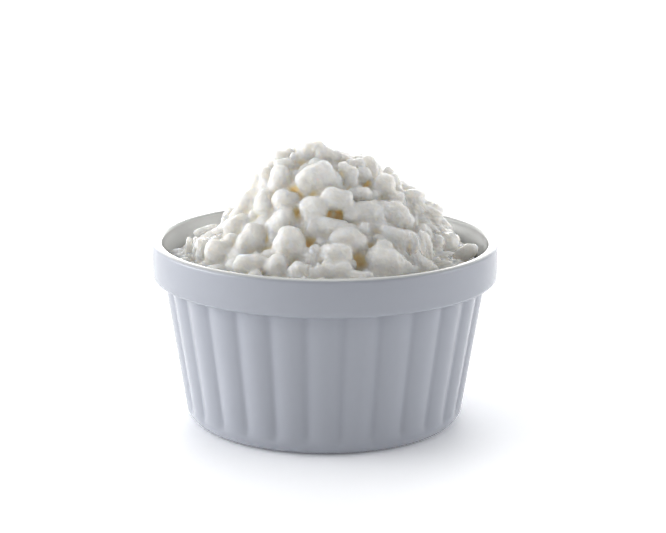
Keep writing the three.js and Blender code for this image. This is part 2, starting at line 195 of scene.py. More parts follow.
def lattice_noise(points: np.ndarray, cell: float, seed: int) -> np.ndarray:
    """Smooth noise from -1 to 1.

    Every corner of a lattice of cubes has a value from a whole-number hash of its
    place, and a point takes a blend of the eight values round it.

    Args:
        points: Places, one row each.
        cell: Side of a cube.
        seed: Picks one of many such noises.

    Returns:
        One number for each place.
    """
    scaled = points / cell + seed * SEED_SHIFT
    corner = np.floor(scaled).astype(np.int64)
    part = scaled - corner
    blend = part * part * (3 - 2 * part)
    total = np.zeros(len(points))
    for offset in itertools.product((0, 1), repeat=3):
        mixed = np.bitwise_xor.reduce((corner + np.array(offset)) * HASH_STEPS, axis=1)
        for shift, factor in HASH_ROUNDS:
            mixed = (mixed ^ (mixed >> shift)) * factor & LARGEST_WORD
        weight = np.prod(np.where(np.array(offset) == 1, blend, 1 - blend), axis=1)
        total += weight * (mixed / HALF_WORD - 1)
    return total


def soft_noise(points: np.ndarray, cell: float, seed: int) -> np.ndarray:
    """Two lattice noises, the second turned and finer, so that no lattice shows."""
    fine = lattice_noise(points @ FINE_TURN, cell * FINE_CELL, seed + 1)
    return COARSE_SHARE * lattice_noise(points, cell, seed) + FINE_SHARE * fine


@dataclass(frozen=True)
class Swell:
    """Soft unevenness of a surface: its height, how broad its lumps are, and its seed."""

    height: float
    breadth: float
    seed: int

    def shape(self, points: np.ndarray) -> np.ndarray:
        """Noise from -1 to 1 over points."""
        return soft_noise(points, self.breadth, self.seed)

    def over(self, points: np.ndarray) -> np.ndarray:
        """Height over points."""
        return self.height * self.shape(points)


# ------------------------------------------------------------------ the ramekin


@dataclass
class Ramekin:
    """The fluted dish. Its surface is one profile turned round, with reeds outside."""

    rim_radius: float = 46.0
    crest_height: float = 49.3
    lip_radius: float = 1.0
    band_height: float = 10.1
    band_corner: float = 1.2
    band_crown: float = 0.1
    reed_top_radius: float = 43.1
    reed_foot_radius: float = 37.4
    reed_foot_height: float = 4.0
    reed_count: int = 28
    reed_rise: float = 0.85
    reed_fade: Pair = (0.5, 1.6)
    groove_fillet: float = 0.16
    ledge_fillet: float = 0.45
    foot_corner: float = 5.2
    foot_ring_start: float = 0.6
    foot_ring_width: float = 3.2
    foot_edge: float = 0.5
    foot_edge_rise: float = 0.15
    foot_recess: float = 1.5
    recess_slope: float = 1.4
    recess_bend: float = 0.9
    recess_level: float = 3
    reed_clearance: float = 0.4
    body_wall: float = 3.5
    lip_flare: float = 2.3
    flare_start: float = 34.0
    floor_height: float = 4.5
    cavity_corner: float = 7.0
    floor_radii: tuple = (0, 12, 24)
    wall_heights: tuple = (14.0, 20.0, 27.0)
    inside_light_edge: float = 0.6
    columns_a_reed: int = 20

    def __post_init__(self) -> None:
        """Works out the sizes that follow from the driving ones."""
        self.band_edge = self.crest_height - self.band_height
        self.wall_slope = (self.reed_top_radius - self.reed_foot_radius) / (
            self.band_edge - self.reed_foot_height)
        self.spring_height = self.crest_height - self.lip_radius

    def body_radius(self, z: np.ndarray) -> np.ndarray:
        """Radius of the reeds' crests, on the straight taper of the body."""
        return self.reed_foot_radius + (z - self.reed_foot_height) * self.wall_slope

    def cavity_radius(self, z: np.ndarray) -> np.ndarray:
        """Radius of the cavity: parallel to the body, then wider by the square of the rise."""
        rise = np.maximum(0, (z - self.flare_start) / (self.spring_height - self.flare_start))
        return self.body_radius(z) - self.body_wall + self.lip_flare * rise ** 2

    def corner_arc(self, offset: float, floor: float, corner: float, steps: int) -> np.ndarray:
        """Points [r, z] of a corner from a level floor up into the tapering wall.

        Args:
            offset: Distance of the wall inside the reeds' crests.
            floor: Height of the floor.
            corner: Radius of the corner.
            steps: Number of stretches.

        Returns:
            The points, from the floor to the wall.
        """
        centre = self.body_radius(floor + corner) - offset - corner * math.hypot(1, self.wall_slope)
        end = -math.atan(self.wall_slope)
        return arc((centre, floor + corner), (corner, corner), -math.pi / 2, end, steps)

    def inside_profile(self) -> np.ndarray:
        """The cavity: a level floor, a round corner and a wall that flares at the top.

        Returns:
            Points [r, z] from the middle of the floor up to the lip.
        """
        floor = np.array([[radius, self.floor_height] for radius in self.floor_radii])
        corner = self.corner_arc(self.body_wall, self.floor_height, self.cavity_corner, steps=6)
        flare = np.linspace(self.flare_start, self.spring_height, 14)[1:-1]
        height = np.concatenate([self.wall_heights, [self.flare_start], flare])
        return np.concatenate([floor, corner, np.stack([self.cavity_radius(height), height], axis=-1)])

    def band_profile(self) -> np.ndarray:
        """Points [r, z] over the lip, down the crowned band and round its lower corner.

        The band's crown is a sine from one of its edges to the other.

        Returns:
            The points, from the inside of the lip to the underside of the band.
        """
        lip_inside = float(self.cavity_radius(np.array(self.spring_height)))
        lip_centre = ((self.rim_radius + lip_inside) / 2, self.spring_height)
        lip = arc(lip_centre, ((self.rim_radius - lip_inside) / 2, self.lip_radius), math.pi, 0, steps=22)
        corner_height = self.band_edge + self.band_corner
        band = straight((self.rim_radius, self.spring_height), (self.rim_radius, corner_height), steps=8)
        crown = np.sin(np.pi * (self.spring_height - band[:, 1]) / (self.spring_height - corner_height))
        band[:, 0] += self.band_crown * crown
        corner_centre = (self.rim_radius - self.band_corner, corner_height)
        corner = arc(corner_centre, (self.band_corner, self.band_corner), 0, -math.pi / 2, steps=8)
        return np.concatenate([lip, band, corner])

    def reeded_profile(self) -> np.ndarray:
        """The reeds' crests: a small ledge, the straight taper and the round foot corner.

        Returns:
            Points [r, z] from under the band down to the ground.
        """
        centre = (self.reed_top_radius + self.ledge_fillet, self.band_edge - self.ledge_fillet)
        ledge = arc(centre, (self.ledge_fillet, self.ledge_fillet), math.pi / 2, math.pi, steps=5)
        height = np.linspace(self.band_edge - 1, self.foot_corner + self.reed_clearance, 16)
        body = np.stack([self.body_radius(height), height], axis=-1)
        corner = self.corner_arc(0, 0, self.foot_corner, steps=16)[::-1]
        return np.concatenate([ledge, body, corner])

    def underside_profile(self, edge: float) -> np.ndarray:
        """Points [r, z] of the foot's flat ring and the shallow recess inside it.

        Args:
            edge: Radius at which the outside's corner meets the ground.

        Returns:
            The points, from the ring to the axis.
        """
        inner = edge - self.foot_ring_width
        return np.array([
            [edge - self.foot_ring_start, 0],
            [inner + self.foot_edge, 0],
            [inner, self.foot_edge_rise],
            [inner - self.recess_slope / 2, self.recess_bend],
            [inner - self.recess_slope, self.foot_recess],
            [inner - self.recess_slope - self.recess_level, self.foot_recess],
            [0, self.foot_recess],
        ])

    def profile(self) -> tuple[np.ndarray, np.ndarray]:
        """The profile from the cavity's floor over the lip and down to the underside.

        Returns:
            Points [r, z], the two poles included, and how deep the grooves are at each.
        """
        plain = np.concatenate([self.inside_profile(), self.band_profile()])
        reeded = self.reeded_profile()
        under = self.underside_profile(reeded[-1, 0])
        low, high = self.reed_fade
        depth = smoothstep(reeded[:, 1], self.reed_foot_height * low, self.reed_foot_height * high)
        grooves = np.concatenate([np.zeros(len(plain)), depth, np.zeros(len(under))])
        return np.concatenate([plain, reeded, under]), grooves

    def groove(self, angle: np.ndarray) -> np.ndarray:
        """Depth of the grooves round the body, as a share of the reeds' rise.

        Across a reed u runs from -1 to 1, and the depth is u squared, with the sharp
        valley between two reeds rounded off over the groove's fillet.

        Args:
            angle: Angles round Z.

        Returns:
            0 on a crest and about 1 in a groove.
        """
        turn = (angle + math.pi / 2) * self.reed_count / (2 * math.pi) + 0.5
        across = np.abs(2 * (turn - np.floor(turn)) - 1)
        edge = np.minimum(1, (1 - across) / self.groove_fillet)
        shoulder = (1 - self.groove_fillet) ** 2
        rounded = shoulder + (1 - shoulder) * (1 - edge ** 2) * 0.5
        return np.where(edge < 1, np.maximum(rounded, shoulder), across ** 2)

    def build(self) -> bpy.types.Object:
        """Makes the dish as one closed surface and dresses it in glaze.

        Returns:
            The finished piece.
        """
        columns = self.columns_a_reed * self.reed_count
        angle = np.arange(columns) * 2 * math.pi / columns - math.pi / 2
        points, grooves = self.profile()
        groove = self.groove(angle)
        radius = points[1:-1, :1] - self.reed_rise * grooves[1:-1, None] * groove
        vertices, faces = turned_surface(radius, points[:, 1], angle)
        piece = make_piece("glazed_ramekin", vertices, faces, "ramekin")
        hollow = np.concatenate([[0], (grooves[1:-1, None] * groove).ravel(), [0]])
        # The groove depth also drives the glaze's painted shade in the grooves.
        set_attribute(piece, "groove", hollow)
        # Painted light: the inside of the dish gets a lighter, neutral colour for its brighter light.
        set_attribute(piece, "inside", self.inside_light_mask(points, columns))
        piece.data.materials.append(GlazeFinish().material())
        return piece

    def inside_light_mask(self, points: np.ndarray, columns: int) -> np.ndarray:
        """Where the inside is painted lighter, as painted light for the brighter light in the dish: all
        inside, and fading out over the lip's crest.

        Args:
            points: Points [r, z] of the profile.
            columns: Points in a ring.

        Returns:
            1 where the painted inside light is full and 0 on the plain glaze, for every vertex.
        """
        crest = int(np.argmax(points[:, 1]))
        low = self.crest_height - self.lip_radius * self.inside_light_edge
        fading = smoothstep(points[:, 1], low, self.crest_height)
        painted_inside_light = np.where(np.arange(len(points)) < crest, 1, fading)
        return np.concatenate([[1], np.repeat(painted_inside_light[1:-1], columns), [0]])


# ------------------------------------------------------------------ the cheese


@dataclass(frozen=True)
class CurdForm:
    """How a sort of curds is shaped.

    Rows and columns count the stretches from pole to pole and round, rough is the
    depth of the dents as a share of the half size, and powers are the least and the
    most p of the rounded box: 2 is an ellipsoid, more is boxier.
    """

    rows: int
    columns: int
    rough: float
    powers: Pair
    seed: int
    dents: int = 6
    dent_widths: Pair = (0.08, 0.34)
    dent_depths: Pair = (-0.6, 1.0)


@dataclass
class Curds:
    """Curds as arrays: centres, three axes each (as columns), and full sizes."""

    centres: np.ndarray
    axes: np.ndarray
    sizes: np.ndarray

    def joined(self, other: "Curds") -> "Curds":
        """These curds followed by the others."""
        return Curds(
            np.concatenate([self.centres, other.centres]),
            np.concatenate([self.axes, other.axes]),
            np.concatenate([self.sizes, other.sizes]))

    def surfaces(self, form: CurdForm) -> tuple[np.ndarray, list]:
        """Every curd as a closed dented surface of two angles.

        In a direction d of the curd's own axes the surface stands at half the sizes
        times a rounded-box length, (|x|^p + |y|^p + |z|^p)^(-1/p), less a few round
        dents that fall off as exp(-(1 - cos) / width) round their own directions.

        Args:
            form: The curds' shape.

        Returns:
            The vertices of all the curds, and their faces.
        """
        draw = np.random.default_rng(form.seed)
        count = len(self.centres)
        polar = np.linspace(0, math.pi, form.rows + 1)[1:-1]
        turn = np.arange(form.columns) * 2 * math.pi / form.columns
        grid = np.stack([
            np.outer(np.sin(polar), np.cos(turn)),
            np.outer(np.sin(polar), np.sin(turn)),
            np.outer(np.cos(polar), np.ones(form.columns)),
        ], axis=-1).reshape(-1, 3)
        ways = np.concatenate([[[0, 0, 1.0]], grid, [[0, 0, -1.0]]])
        powers = draw.uniform(*form.powers, (count, 1))
        length = np.sum(np.abs(ways)[None] ** powers[..., None], axis=-1) ** (-1 / powers)
        for _ in range(form.dents):
            towards = unit(draw.normal(size=(count, 3)))
            width = draw.uniform(*form.dent_widths, (count, 1))
            depth = draw.uniform(*form.dent_depths, (count, 1)) * form.rough
            length = length * (1 - depth * np.exp((towards @ ways.T - 1) / width))
        local = ways[None] * length[..., None] * self.sizes[:, None] / 2
        vertices = self.centres[:, None] + np.einsum("nij,nmj->nmi", self.axes, local)
        start = np.arange(count)[:, None, None] * len(ways)
        faces = [
            (block[None] + start).reshape(-1, block.shape[1])
            for block in capped_faces(form.rows - 1, form.columns)]
        return vertices.reshape(-1, 3), faces


@dataclass(frozen=True)
class Filler:
    """Small curds that fill the room which larger ones leave.

    Tries places by an even rule, with lengths and depths under the hull drawn between
    two bounds, and keeps spacing times the sum of two curds' mean sizes between them.
    The shares bound each of a curd's three sizes against its length.
    """

    tries: int = 2400
    lengths: Pair = (3.2, 5.6)
    depths: Pair = (1.2, 2.6)
    spacing: float = 0.42
    seed: int = 47
    least_shares: tuple = (1, 0.65, 0.6)
    most_shares: tuple = (1, 1, 0.95)


@dataclass(frozen=True)
class Spot:
    """A round patch of the heap as it stands in a view from the eye, fading from its middle."""

    across: float
    up: float
    radius: float
    strength: float = 1.0


def spots(*rows: tuple) -> tuple:
    """Spots from rows of their values."""
    return tuple(Spot(*row) for row in rows)


@dataclass(frozen=True)
class Folds:
    """Fine side-by-side folds of a smeared curd, in one patch of the heap.

    Tilt is how far the folds run up from the level, in degrees, pitch the distance
    from one to the next, and depth their height. Across the run they sway by a swell.
    """

    patch: Spot
    tilt: float
    pitch: float
    depth: float
    sway: Swell = Swell(0.9, 3.0, 41)
    sharpness: float = 1.6
    floor: float = 0.4


@dataclass
class Mound:
    """The mound's hull, and the rule that lays curds on it, as in the CAD solid.

    Every station of the hull is a share of the way from the peak to the wall, the
    height there, and how far that ring is shifted sideways. The strewn sorts are a
    number of tries each, with the least and the most length.
    """

    mouth_height: float = 49.3
    reach: float = 42.8
    core_depth: float = 1.9
    core_grid: tuple[int, int] = (110, 240)
    pocket_depth: float = 4.6
    pocket_edge: float = 0.25
    spot_depth: float = 9.0
    low_side: float = math.radians(150)
    low_side_drop: float = 4.0
    dip_side: float = math.radians(5)
    dip_drop: float = 3.4
    dip_reaches: Pair = (0.6, 0.8)
    eye: tuple[float, float, float] = (0.0, -579.0, 184.0)
    sight_step: float = 0.25
    height_rounds: int = 30
    normal_step: float = 0.02
    stations: np.ndarray = field(default_factory=lambda: np.array([
        [0.0, 75.0, -4.5], [0.17, 72.8, -4.0], [0.36, 69.0, -1.2], [0.46, 64.2, 0.6],
        [0.6, 58.3, 2.6], [0.74, 53.2, 2.8], [0.87, 49.2, 1.6], [1.0, 46.8, 0.0]]))
    seat: float = 0.4
    thickness: float = 0.46
    stoutness: float = 1.1
    plumpness: float = 1.13
    strewn_thickness: float = 0.9
    strewn_sorts: tuple = ((130, 7.6, 9.8), (330, 6.0, 7.4), (140, 4.8, 5.8))
    strewn_breadth: Pair = (0.7, 0.96)
    strewn_spacing: float = 0.45
    strewn_reach: float = 0.95
    strewn_seed: int = 7
    filled_reach: float = 0.985
    even_reach: float = 0.7548776662
    even_turn: float = 0.5698402910
    even_start: int = 108

    def station_value(self, column: int, reach: np.ndarray) -> np.ndarray:
        """Height (column 1) or shift (column 2) of the hull at a reach.

        A cubic Hermite curve runs through the stations, level at the peak, with the
        slope of the chord between its neighbours at every other station.

        Args:
            column: Column of the stations.
            reach: Shares of the way from the peak to the wall.

        Returns:
            One value for each reach.
        """
        known, value = self.stations[:, 0], self.stations[:, column]
        final = len(known) - 1
        before = np.maximum(np.arange(final + 1) - 1, 0)
        after = np.minimum(np.arange(final + 1) + 1, final)
        slope = (value[after] - value[before]) / (known[after] - known[before])
        slope[0] = 0
        i = np.clip(np.searchsorted(known, reach, side="left") - 1, 0, final - 1)
        span = known[i + 1] - known[i]
        s = (reach - known[i]) / span
        return (value[i] * (1 + 2 * s) * (1 - s) ** 2 + slope[i] * span * s * (1 - s) ** 2
                + value[i + 1] * s * s * (3 - 2 * s) + slope[i + 1] * span * s * s * (s - 1))

    def hull_point(self, reach: np.ndarray, angle: np.ndarray) -> np.ndarray:
        """Points of the hull, a surface of reach and angle.

        A ring at a reach is a circle at its station's height and shift. It drops on
        the low side by the cube of the reach, and in the dip by an S of the reach.

        Args:
            reach: Shares of the way from the peak (0) to the wall (1).
            angle: Angles round Z.

        Returns:
            One point for each reach and angle.
        """
        low = self.low_side_drop * np.maximum(0, np.cos(angle - self.low_side)) ** 2 * reach ** 3
        dip = self.dip_drop * np.maximum(0, np.cos(angle - self.dip_side)) ** 4
        dip = dip * smoothstep(reach, *self.dip_reaches)
        return np.stack([
            self.station_value(2, reach) + reach * self.reach * np.cos(angle),
            reach * self.reach * np.sin(angle),
            self.station_value(1, reach) - low - dip], axis=-1)

    def hull_height(self, x: np.ndarray, y: np.ndarray) -> np.ndarray:
        """Height of the hull over places on the plan, by closing in on their reach.

        Args:
            x: Places across.
            y: Places towards the back.

        Returns:
            One height for each place.
        """
        inner, outer = np.zeros_like(x), np.ones_like(x)
        for _ in range(self.height_rounds):
            middle = (inner + outer) / 2
            beyond = np.hypot(x - self.station_value(2, middle), y) > middle * self.reach
            inner = np.where(beyond, middle, inner)
            outer = np.where(beyond, outer, middle)
        angle = np.arctan2(y, x - self.station_value(2, outer))
        return self.hull_point(outer, angle)[..., 2]

    def hull_normal(self, reach: np.ndarray, angle: np.ndarray) -> np.ndarray:
        """Directions straight out of the hull, square to its slope and to its rings.

        Args:
            reach: Shares of the way from the peak to the wall.
            angle: Angles round Z.

        Returns:
            One direction for each reach and angle.
        """
        out = self.hull_point(np.minimum(1, reach + self.normal_step), angle)
        out = out - self.hull_point(np.maximum(0, reach - self.normal_step), angle)
        level = np.stack([-np.sin(angle), np.cos(angle), np.zeros_like(angle)], axis=-1)
        return unit(np.cross(out, level))

    def sighted(self, across: float, up: float) -> tuple[np.ndarray, np.ndarray]:
        """Where a sight line from the eye first meets the hull, or passes closest.

        Args:
            across: Level distance of the line from the mouth's centre.
            up: Distance over the centre, square to the line of sight.

        Returns:
            The point, and the sight line's direction.
        """
        eye = np.array(self.eye)
        mouth = np.array([0, 0, self.mouth_height])
        upward = np.cross(RIGHT, unit(mouth - eye))
        target = mouth + across * RIGHT + up * upward
        ray = unit(target - eye)
        along = np.arange(-self.reach, self.reach, self.sight_step)
        points = target + along[:, None] * ray
        points = points[np.hypot(points[:, 0], points[:, 1]) <= self.reach]
        clearance = points[:, 2] - self.hull_height(points[:, 0], points[:, 1])
        met = np.flatnonzero(clearance <= 0)
        return points[met[0] if len(met) else int(np.argmin(clearance))], ray

    def front(self, rows: list) -> Curds:
        """Curds placed by how they stand in a view from the eye.

        Args:
            rows: Across, up, length, breadth, tilt in degrees and rise towards the eye
                of every curd.

        Returns:
            The curds, lying on the hull.
        """
        centres, axes, sizes = [], [], []
        for across, up, length, breadth, tilt, rise in rows:
            point, ray = self.sighted(across, up)
            turn = math.radians(tilt)
            along = RIGHT * math.cos(turn) + unit(np.cross(RIGHT, ray)) * math.sin(turn)
            beside = -unit(np.cross(along, ray))
            thickness = min((length + breadth) * self.thickness, breadth * self.stoutness)
            centres.append(point + ray * (thickness * self.seat - rise))
            axes.append(np.stack([along, beside, np.cross(along, beside)], axis=-1))
            sizes.append([length * self.plumpness, breadth * self.plumpness, thickness])
        return Curds(np.array(centres), np.array(axes), np.array(sizes))

    def strewn(self, placed: Curds) -> Curds:
        """Curds strewn by an even rule over the rest of the hull, clear of the placed ones.

        Args:
            placed: The curds that are there.

        Returns:
            The curds that find room.
        """
        draws = self.draws(self.strewn_seed)
        taken, lengths = list(placed.centres), list(placed.sizes[:, 0])
        centres, axes, sizes = [], [], []
        low, high = self.strewn_breadth
        sorts = [sort for sort in self.strewn_sorts for _ in range(sort[0])]
        for k, (_, least, most) in enumerate(sorts):
            step = k + self.even_start
            reach = np.array(math.sqrt(step * self.even_reach % 1) * self.strewn_reach)
            angle = np.array(step * self.even_turn % 1 * 2 * math.pi)
            length = least + (most - least) * next(draws)
            breadth = length * (low + (high - low) * next(draws))
            tilt = next(draws) * math.pi
            normal = self.hull_normal(reach, angle)
            centre = self.hull_point(reach, angle) - normal * breadth * self.seat
            away = np.linalg.norm(np.array(taken) - centre, axis=1)
            if np.any(away < self.strewn_spacing * (np.array(lengths) + length)):
                continue
            level = unit(np.cross([0, 0, 1.0], normal))
            along = level * math.cos(tilt) + np.cross(normal, level) * math.sin(tilt)
            taken.append(centre)
            lengths.append(length)
            centres.append(centre)
            axes.append(np.stack([along, np.cross(normal, along), normal], axis=-1))
            sizes.append([length, breadth, breadth * self.strewn_thickness])
        return Curds(np.array(centres), np.array(axes), np.array(sizes))

    @staticmethod
    def draws(seed: int) -> Iterator[float]:
        """Repeatable numbers from 0 to 1, one after another without end.

        The state is multiplied, added to and cut to a 32-bit word at every step.

        Args:
            seed: First state.

        Yields:
            The state's share of the word.
        """
        state, words = seed, 4294967296
        while True:
            state = (state * 1664525 + 1013904223) % words
            yield state / words

    def nearness(self, points: np.ndarray, spot: Spot) -> np.ndarray:
        """How near points are to the sight line through a spot, falling off as a bell.

        Args:
            points: Places, one row each.
            spot: The spot.

        Returns:
            1 on the line and 0 away from it or too deep, for each place.
        """
        middle, ray = self.sighted(spot.across, spot.up)
        offset = points - middle
        along = offset @ ray
        away = np.linalg.norm(offset - along[:, None] * ray, axis=1)
        return np.exp(-(away / spot.radius) ** 2) * (np.abs(along) < self.spot_depth)

    def marked(self, points: np.ndarray, places: tuple) -> np.ndarray:
        """The strongest mark that any of the spots leaves on points."""
        return np.max([spot.strength * self.nearness(points, spot) for spot in places], axis=0)

    def folded(self, points: np.ndarray, folds: Folds) -> np.ndarray:
        """Height of folds over points: a wave across the folds' run, with narrow crests.

        Args:
            points: Places, one row each.
            folds: The folds.

        Returns:
            One height for each place, which fades out from the patch's middle.
        """
        middle, ray = self.sighted(folds.patch.across, folds.patch.up)
        turn = math.radians(folds.tilt)
        beside = unit(np.cross(RIGHT, ray)) * math.cos(turn) - RIGHT * math.sin(turn)
        phase = ((points - middle) @ beside + folds.sway.over(points)) / folds.pitch
        wave = np.abs(2 * (phase - np.floor(phase)) - 1)
        return self.nearness(points, folds.patch) * folds.depth * (wave ** folds.sharpness - folds.floor)

    def filled(self, filler: Filler, placed: Curds, pockets: tuple) -> Curds:
        """Filler curds, wherever the placed ones and the pockets leave room.

        Args:
            filler: The sort of curds to add.
            placed: The curds that are there.
            pockets: Spots that stay open.

        Returns:
            The added curds.
        """
        draw = np.random.default_rng(filler.seed)
        k = np.arange(filler.tries) + 0.5
        reach = np.sqrt(k * self.even_reach % 1) * self.filled_reach
        angle = k * self.even_turn % 1 * 2 * math.pi
        normal = self.hull_normal(reach, angle)
        centres = self.hull_point(reach, angle) - normal * draw.uniform(*filler.depths, (filler.tries, 1))
        shares = draw.uniform(filler.least_shares, filler.most_shares, (filler.tries, 3))
        sizes = draw.uniform(*filler.lengths, (filler.tries, 1)) * shares
        along = unit(np.cross(normal, unit(draw.normal(size=(filler.tries, 3)))))
        axes = np.stack([along, np.cross(normal, along), normal], axis=-1)
        clear = self.marked(centres, pockets) <= self.pocket_edge
        there = np.concatenate([placed.centres, centres])
        girth = np.concatenate([placed.sizes.mean(axis=1), sizes.mean(axis=1)])
        first = len(placed.centres)
        kept = np.arange(len(there)) < first
        for i in np.flatnonzero(clear) + first:
            away = np.linalg.norm(there[kept] - there[i], axis=1)
            kept[i] = np.all(away > filler.spacing * (girth[kept] + girth[i]))
        chosen = kept[first:]
        return Curds(centres[chosen], axes[chosen], sizes[chosen])

    def core(self, bottom: float, wall: float, pockets: tuple) -> tuple[np.ndarray, list]:
        """The bare mound under the curds, deeper in the pockets and closed below.

        It is a surface of reach and angle, the hull lowered by the curds' depth. A
        level skirt and an underside halfway in to the axis close it.

        Args:
            bottom: Height of its level underside.
            wall: Radius of its side, just inside the cavity's wall.
            pockets: Spots that lie deeper.

        Returns:
            The vertices, and the faces as blocks.
        """
        rings, columns = self.core_grid
        angle = np.arange(columns) * 2 * math.pi / columns
        reach = np.linspace(0, 1, rings + 1)[1:]
        points = self.hull_point(reach[:, None], angle[None])
        pocket = self.marked(points.reshape(-1, 3), pockets).reshape(points.shape[:2])
        points[..., 2] -= self.core_depth + self.pocket_depth * pocket
        side = np.stack([wall * np.cos(angle), wall * np.sin(angle), points[-1, :, 2] - 1], axis=-1)
        under = side * [1, 1, 0] + [0, 0, bottom]
        surface = np.concatenate([points, side[None], under[None], under[None] * [0.5, 0.5, 1]])
        peak = self.hull_point(np.array(0.0), np.array(0.0)) - [0, 0, self.core_depth]
        vertices = np.concatenate([[peak], surface.reshape(-1, 3), [[0, 0, bottom]]])
        return vertices, capped_faces(len(surface), columns)


class Skin:
    """A mesh's vertices and quads, with the sums over neighbours that shaping needs."""

    def __init__(self, vertices: np.ndarray, quads: np.ndarray) -> None:
        """Keeps the arrays and lists every edge both ways.

        Args:
            vertices: Points, one row each.
            quads: Vertex indices, one face a row.
        """
        self.vertices = vertices
        self.quads = quads
        pairs = np.concatenate([quads[:, [i, (i + 1) % 4]] for i in range(4)])
        self.ways = np.unique(np.concatenate([pairs, pairs[:, ::-1]]), axis=0)
        self.degree = np.maximum(np.bincount(self.ways[:, 0], minlength=len(vertices)), 1)

    def outermost(self) -> "Skin":
        """The largest connected part, without the walls of sealed hollows inside it.

        Every vertex takes the least number among its neighbours until none changes.

        Returns:
            The part, as a skin of its own.
        """
        start, end = self.ways.T
        label = np.arange(len(self.vertices))
        while True:
            least = label.copy()
            np.minimum.at(least, start, label[end])
            least = least[least]
            if np.array_equal(least, label):
                break
            label = least
        main = np.argmax(np.bincount(label))
        chosen, quads = np.unique(self.quads[label[self.quads[:, 0]] == main], return_inverse=True)
        return Skin(self.vertices[chosen], quads.reshape(-1, 4))

    def mean(self, values: np.ndarray) -> np.ndarray:
        """Mean of the neighbours' values.

        Args:
            values: A number or a row for every vertex.

        Returns:
            The means, in the same form.
        """
        start, end = self.ways.T
        columns = values.reshape(len(values), -1)
        sums = [np.bincount(start, column[end], len(values)) / self.degree for column in columns.T]
        return np.stack(sums, axis=-1).reshape(values.shape)

    def normals(self) -> np.ndarray:
        """Outward direction of every vertex, the sum of its faces' normals.

        Returns:
            One unit vector for each vertex.
        """
        corner = self.vertices[self.quads]
        face = np.cross(corner[:, 2] - corner[:, 0], corner[:, 3] - corner[:, 1])
        sums = np.zeros_like(self.vertices)
        for axis in range(3):
            for side in range(4):
                sums[:, axis] += np.bincount(self.quads[:, side], face[:, axis], len(sums))
        return unit(sums)

    def relax(self, rounds: int, share: float) -> None:
        """Moves every vertex a share of the way to the mean of its neighbours."""
        for _ in range(rounds):
            self.vertices += share * (self.mean(self.vertices) - self.vertices)

    def fill_creases(self, rounds: int, shares: np.ndarray) -> None:
        """Fills creases with cream: vertices that lie in a hollow move towards the mean.

        Args:
            rounds: How often.
            shares: Share of the way that each vertex moves in a round.
        """
        for _ in range(rounds):
            pull = self.mean(self.vertices) - self.vertices
            hollow = np.sum(pull * self.normals(), axis=1) > 0
            self.vertices += pull * (shares * hollow)[:, None]

    def hollowness(self, rounds: int, share: float) -> np.ndarray:
        """How far every vertex lies under the surface as it is when much smoothed.

        Args:
            rounds: Rounds of smoothing.
            share: Share of the way to the neighbours' mean in a round.

        Returns:
            One depth for each vertex, less than 0 on what stands out.
        """
        smooth = self.vertices.copy()
        for _ in range(rounds):
            smooth += share * (self.mean(smooth) - smooth)
        return np.sum((smooth - self.vertices) * self.normals(), axis=1)


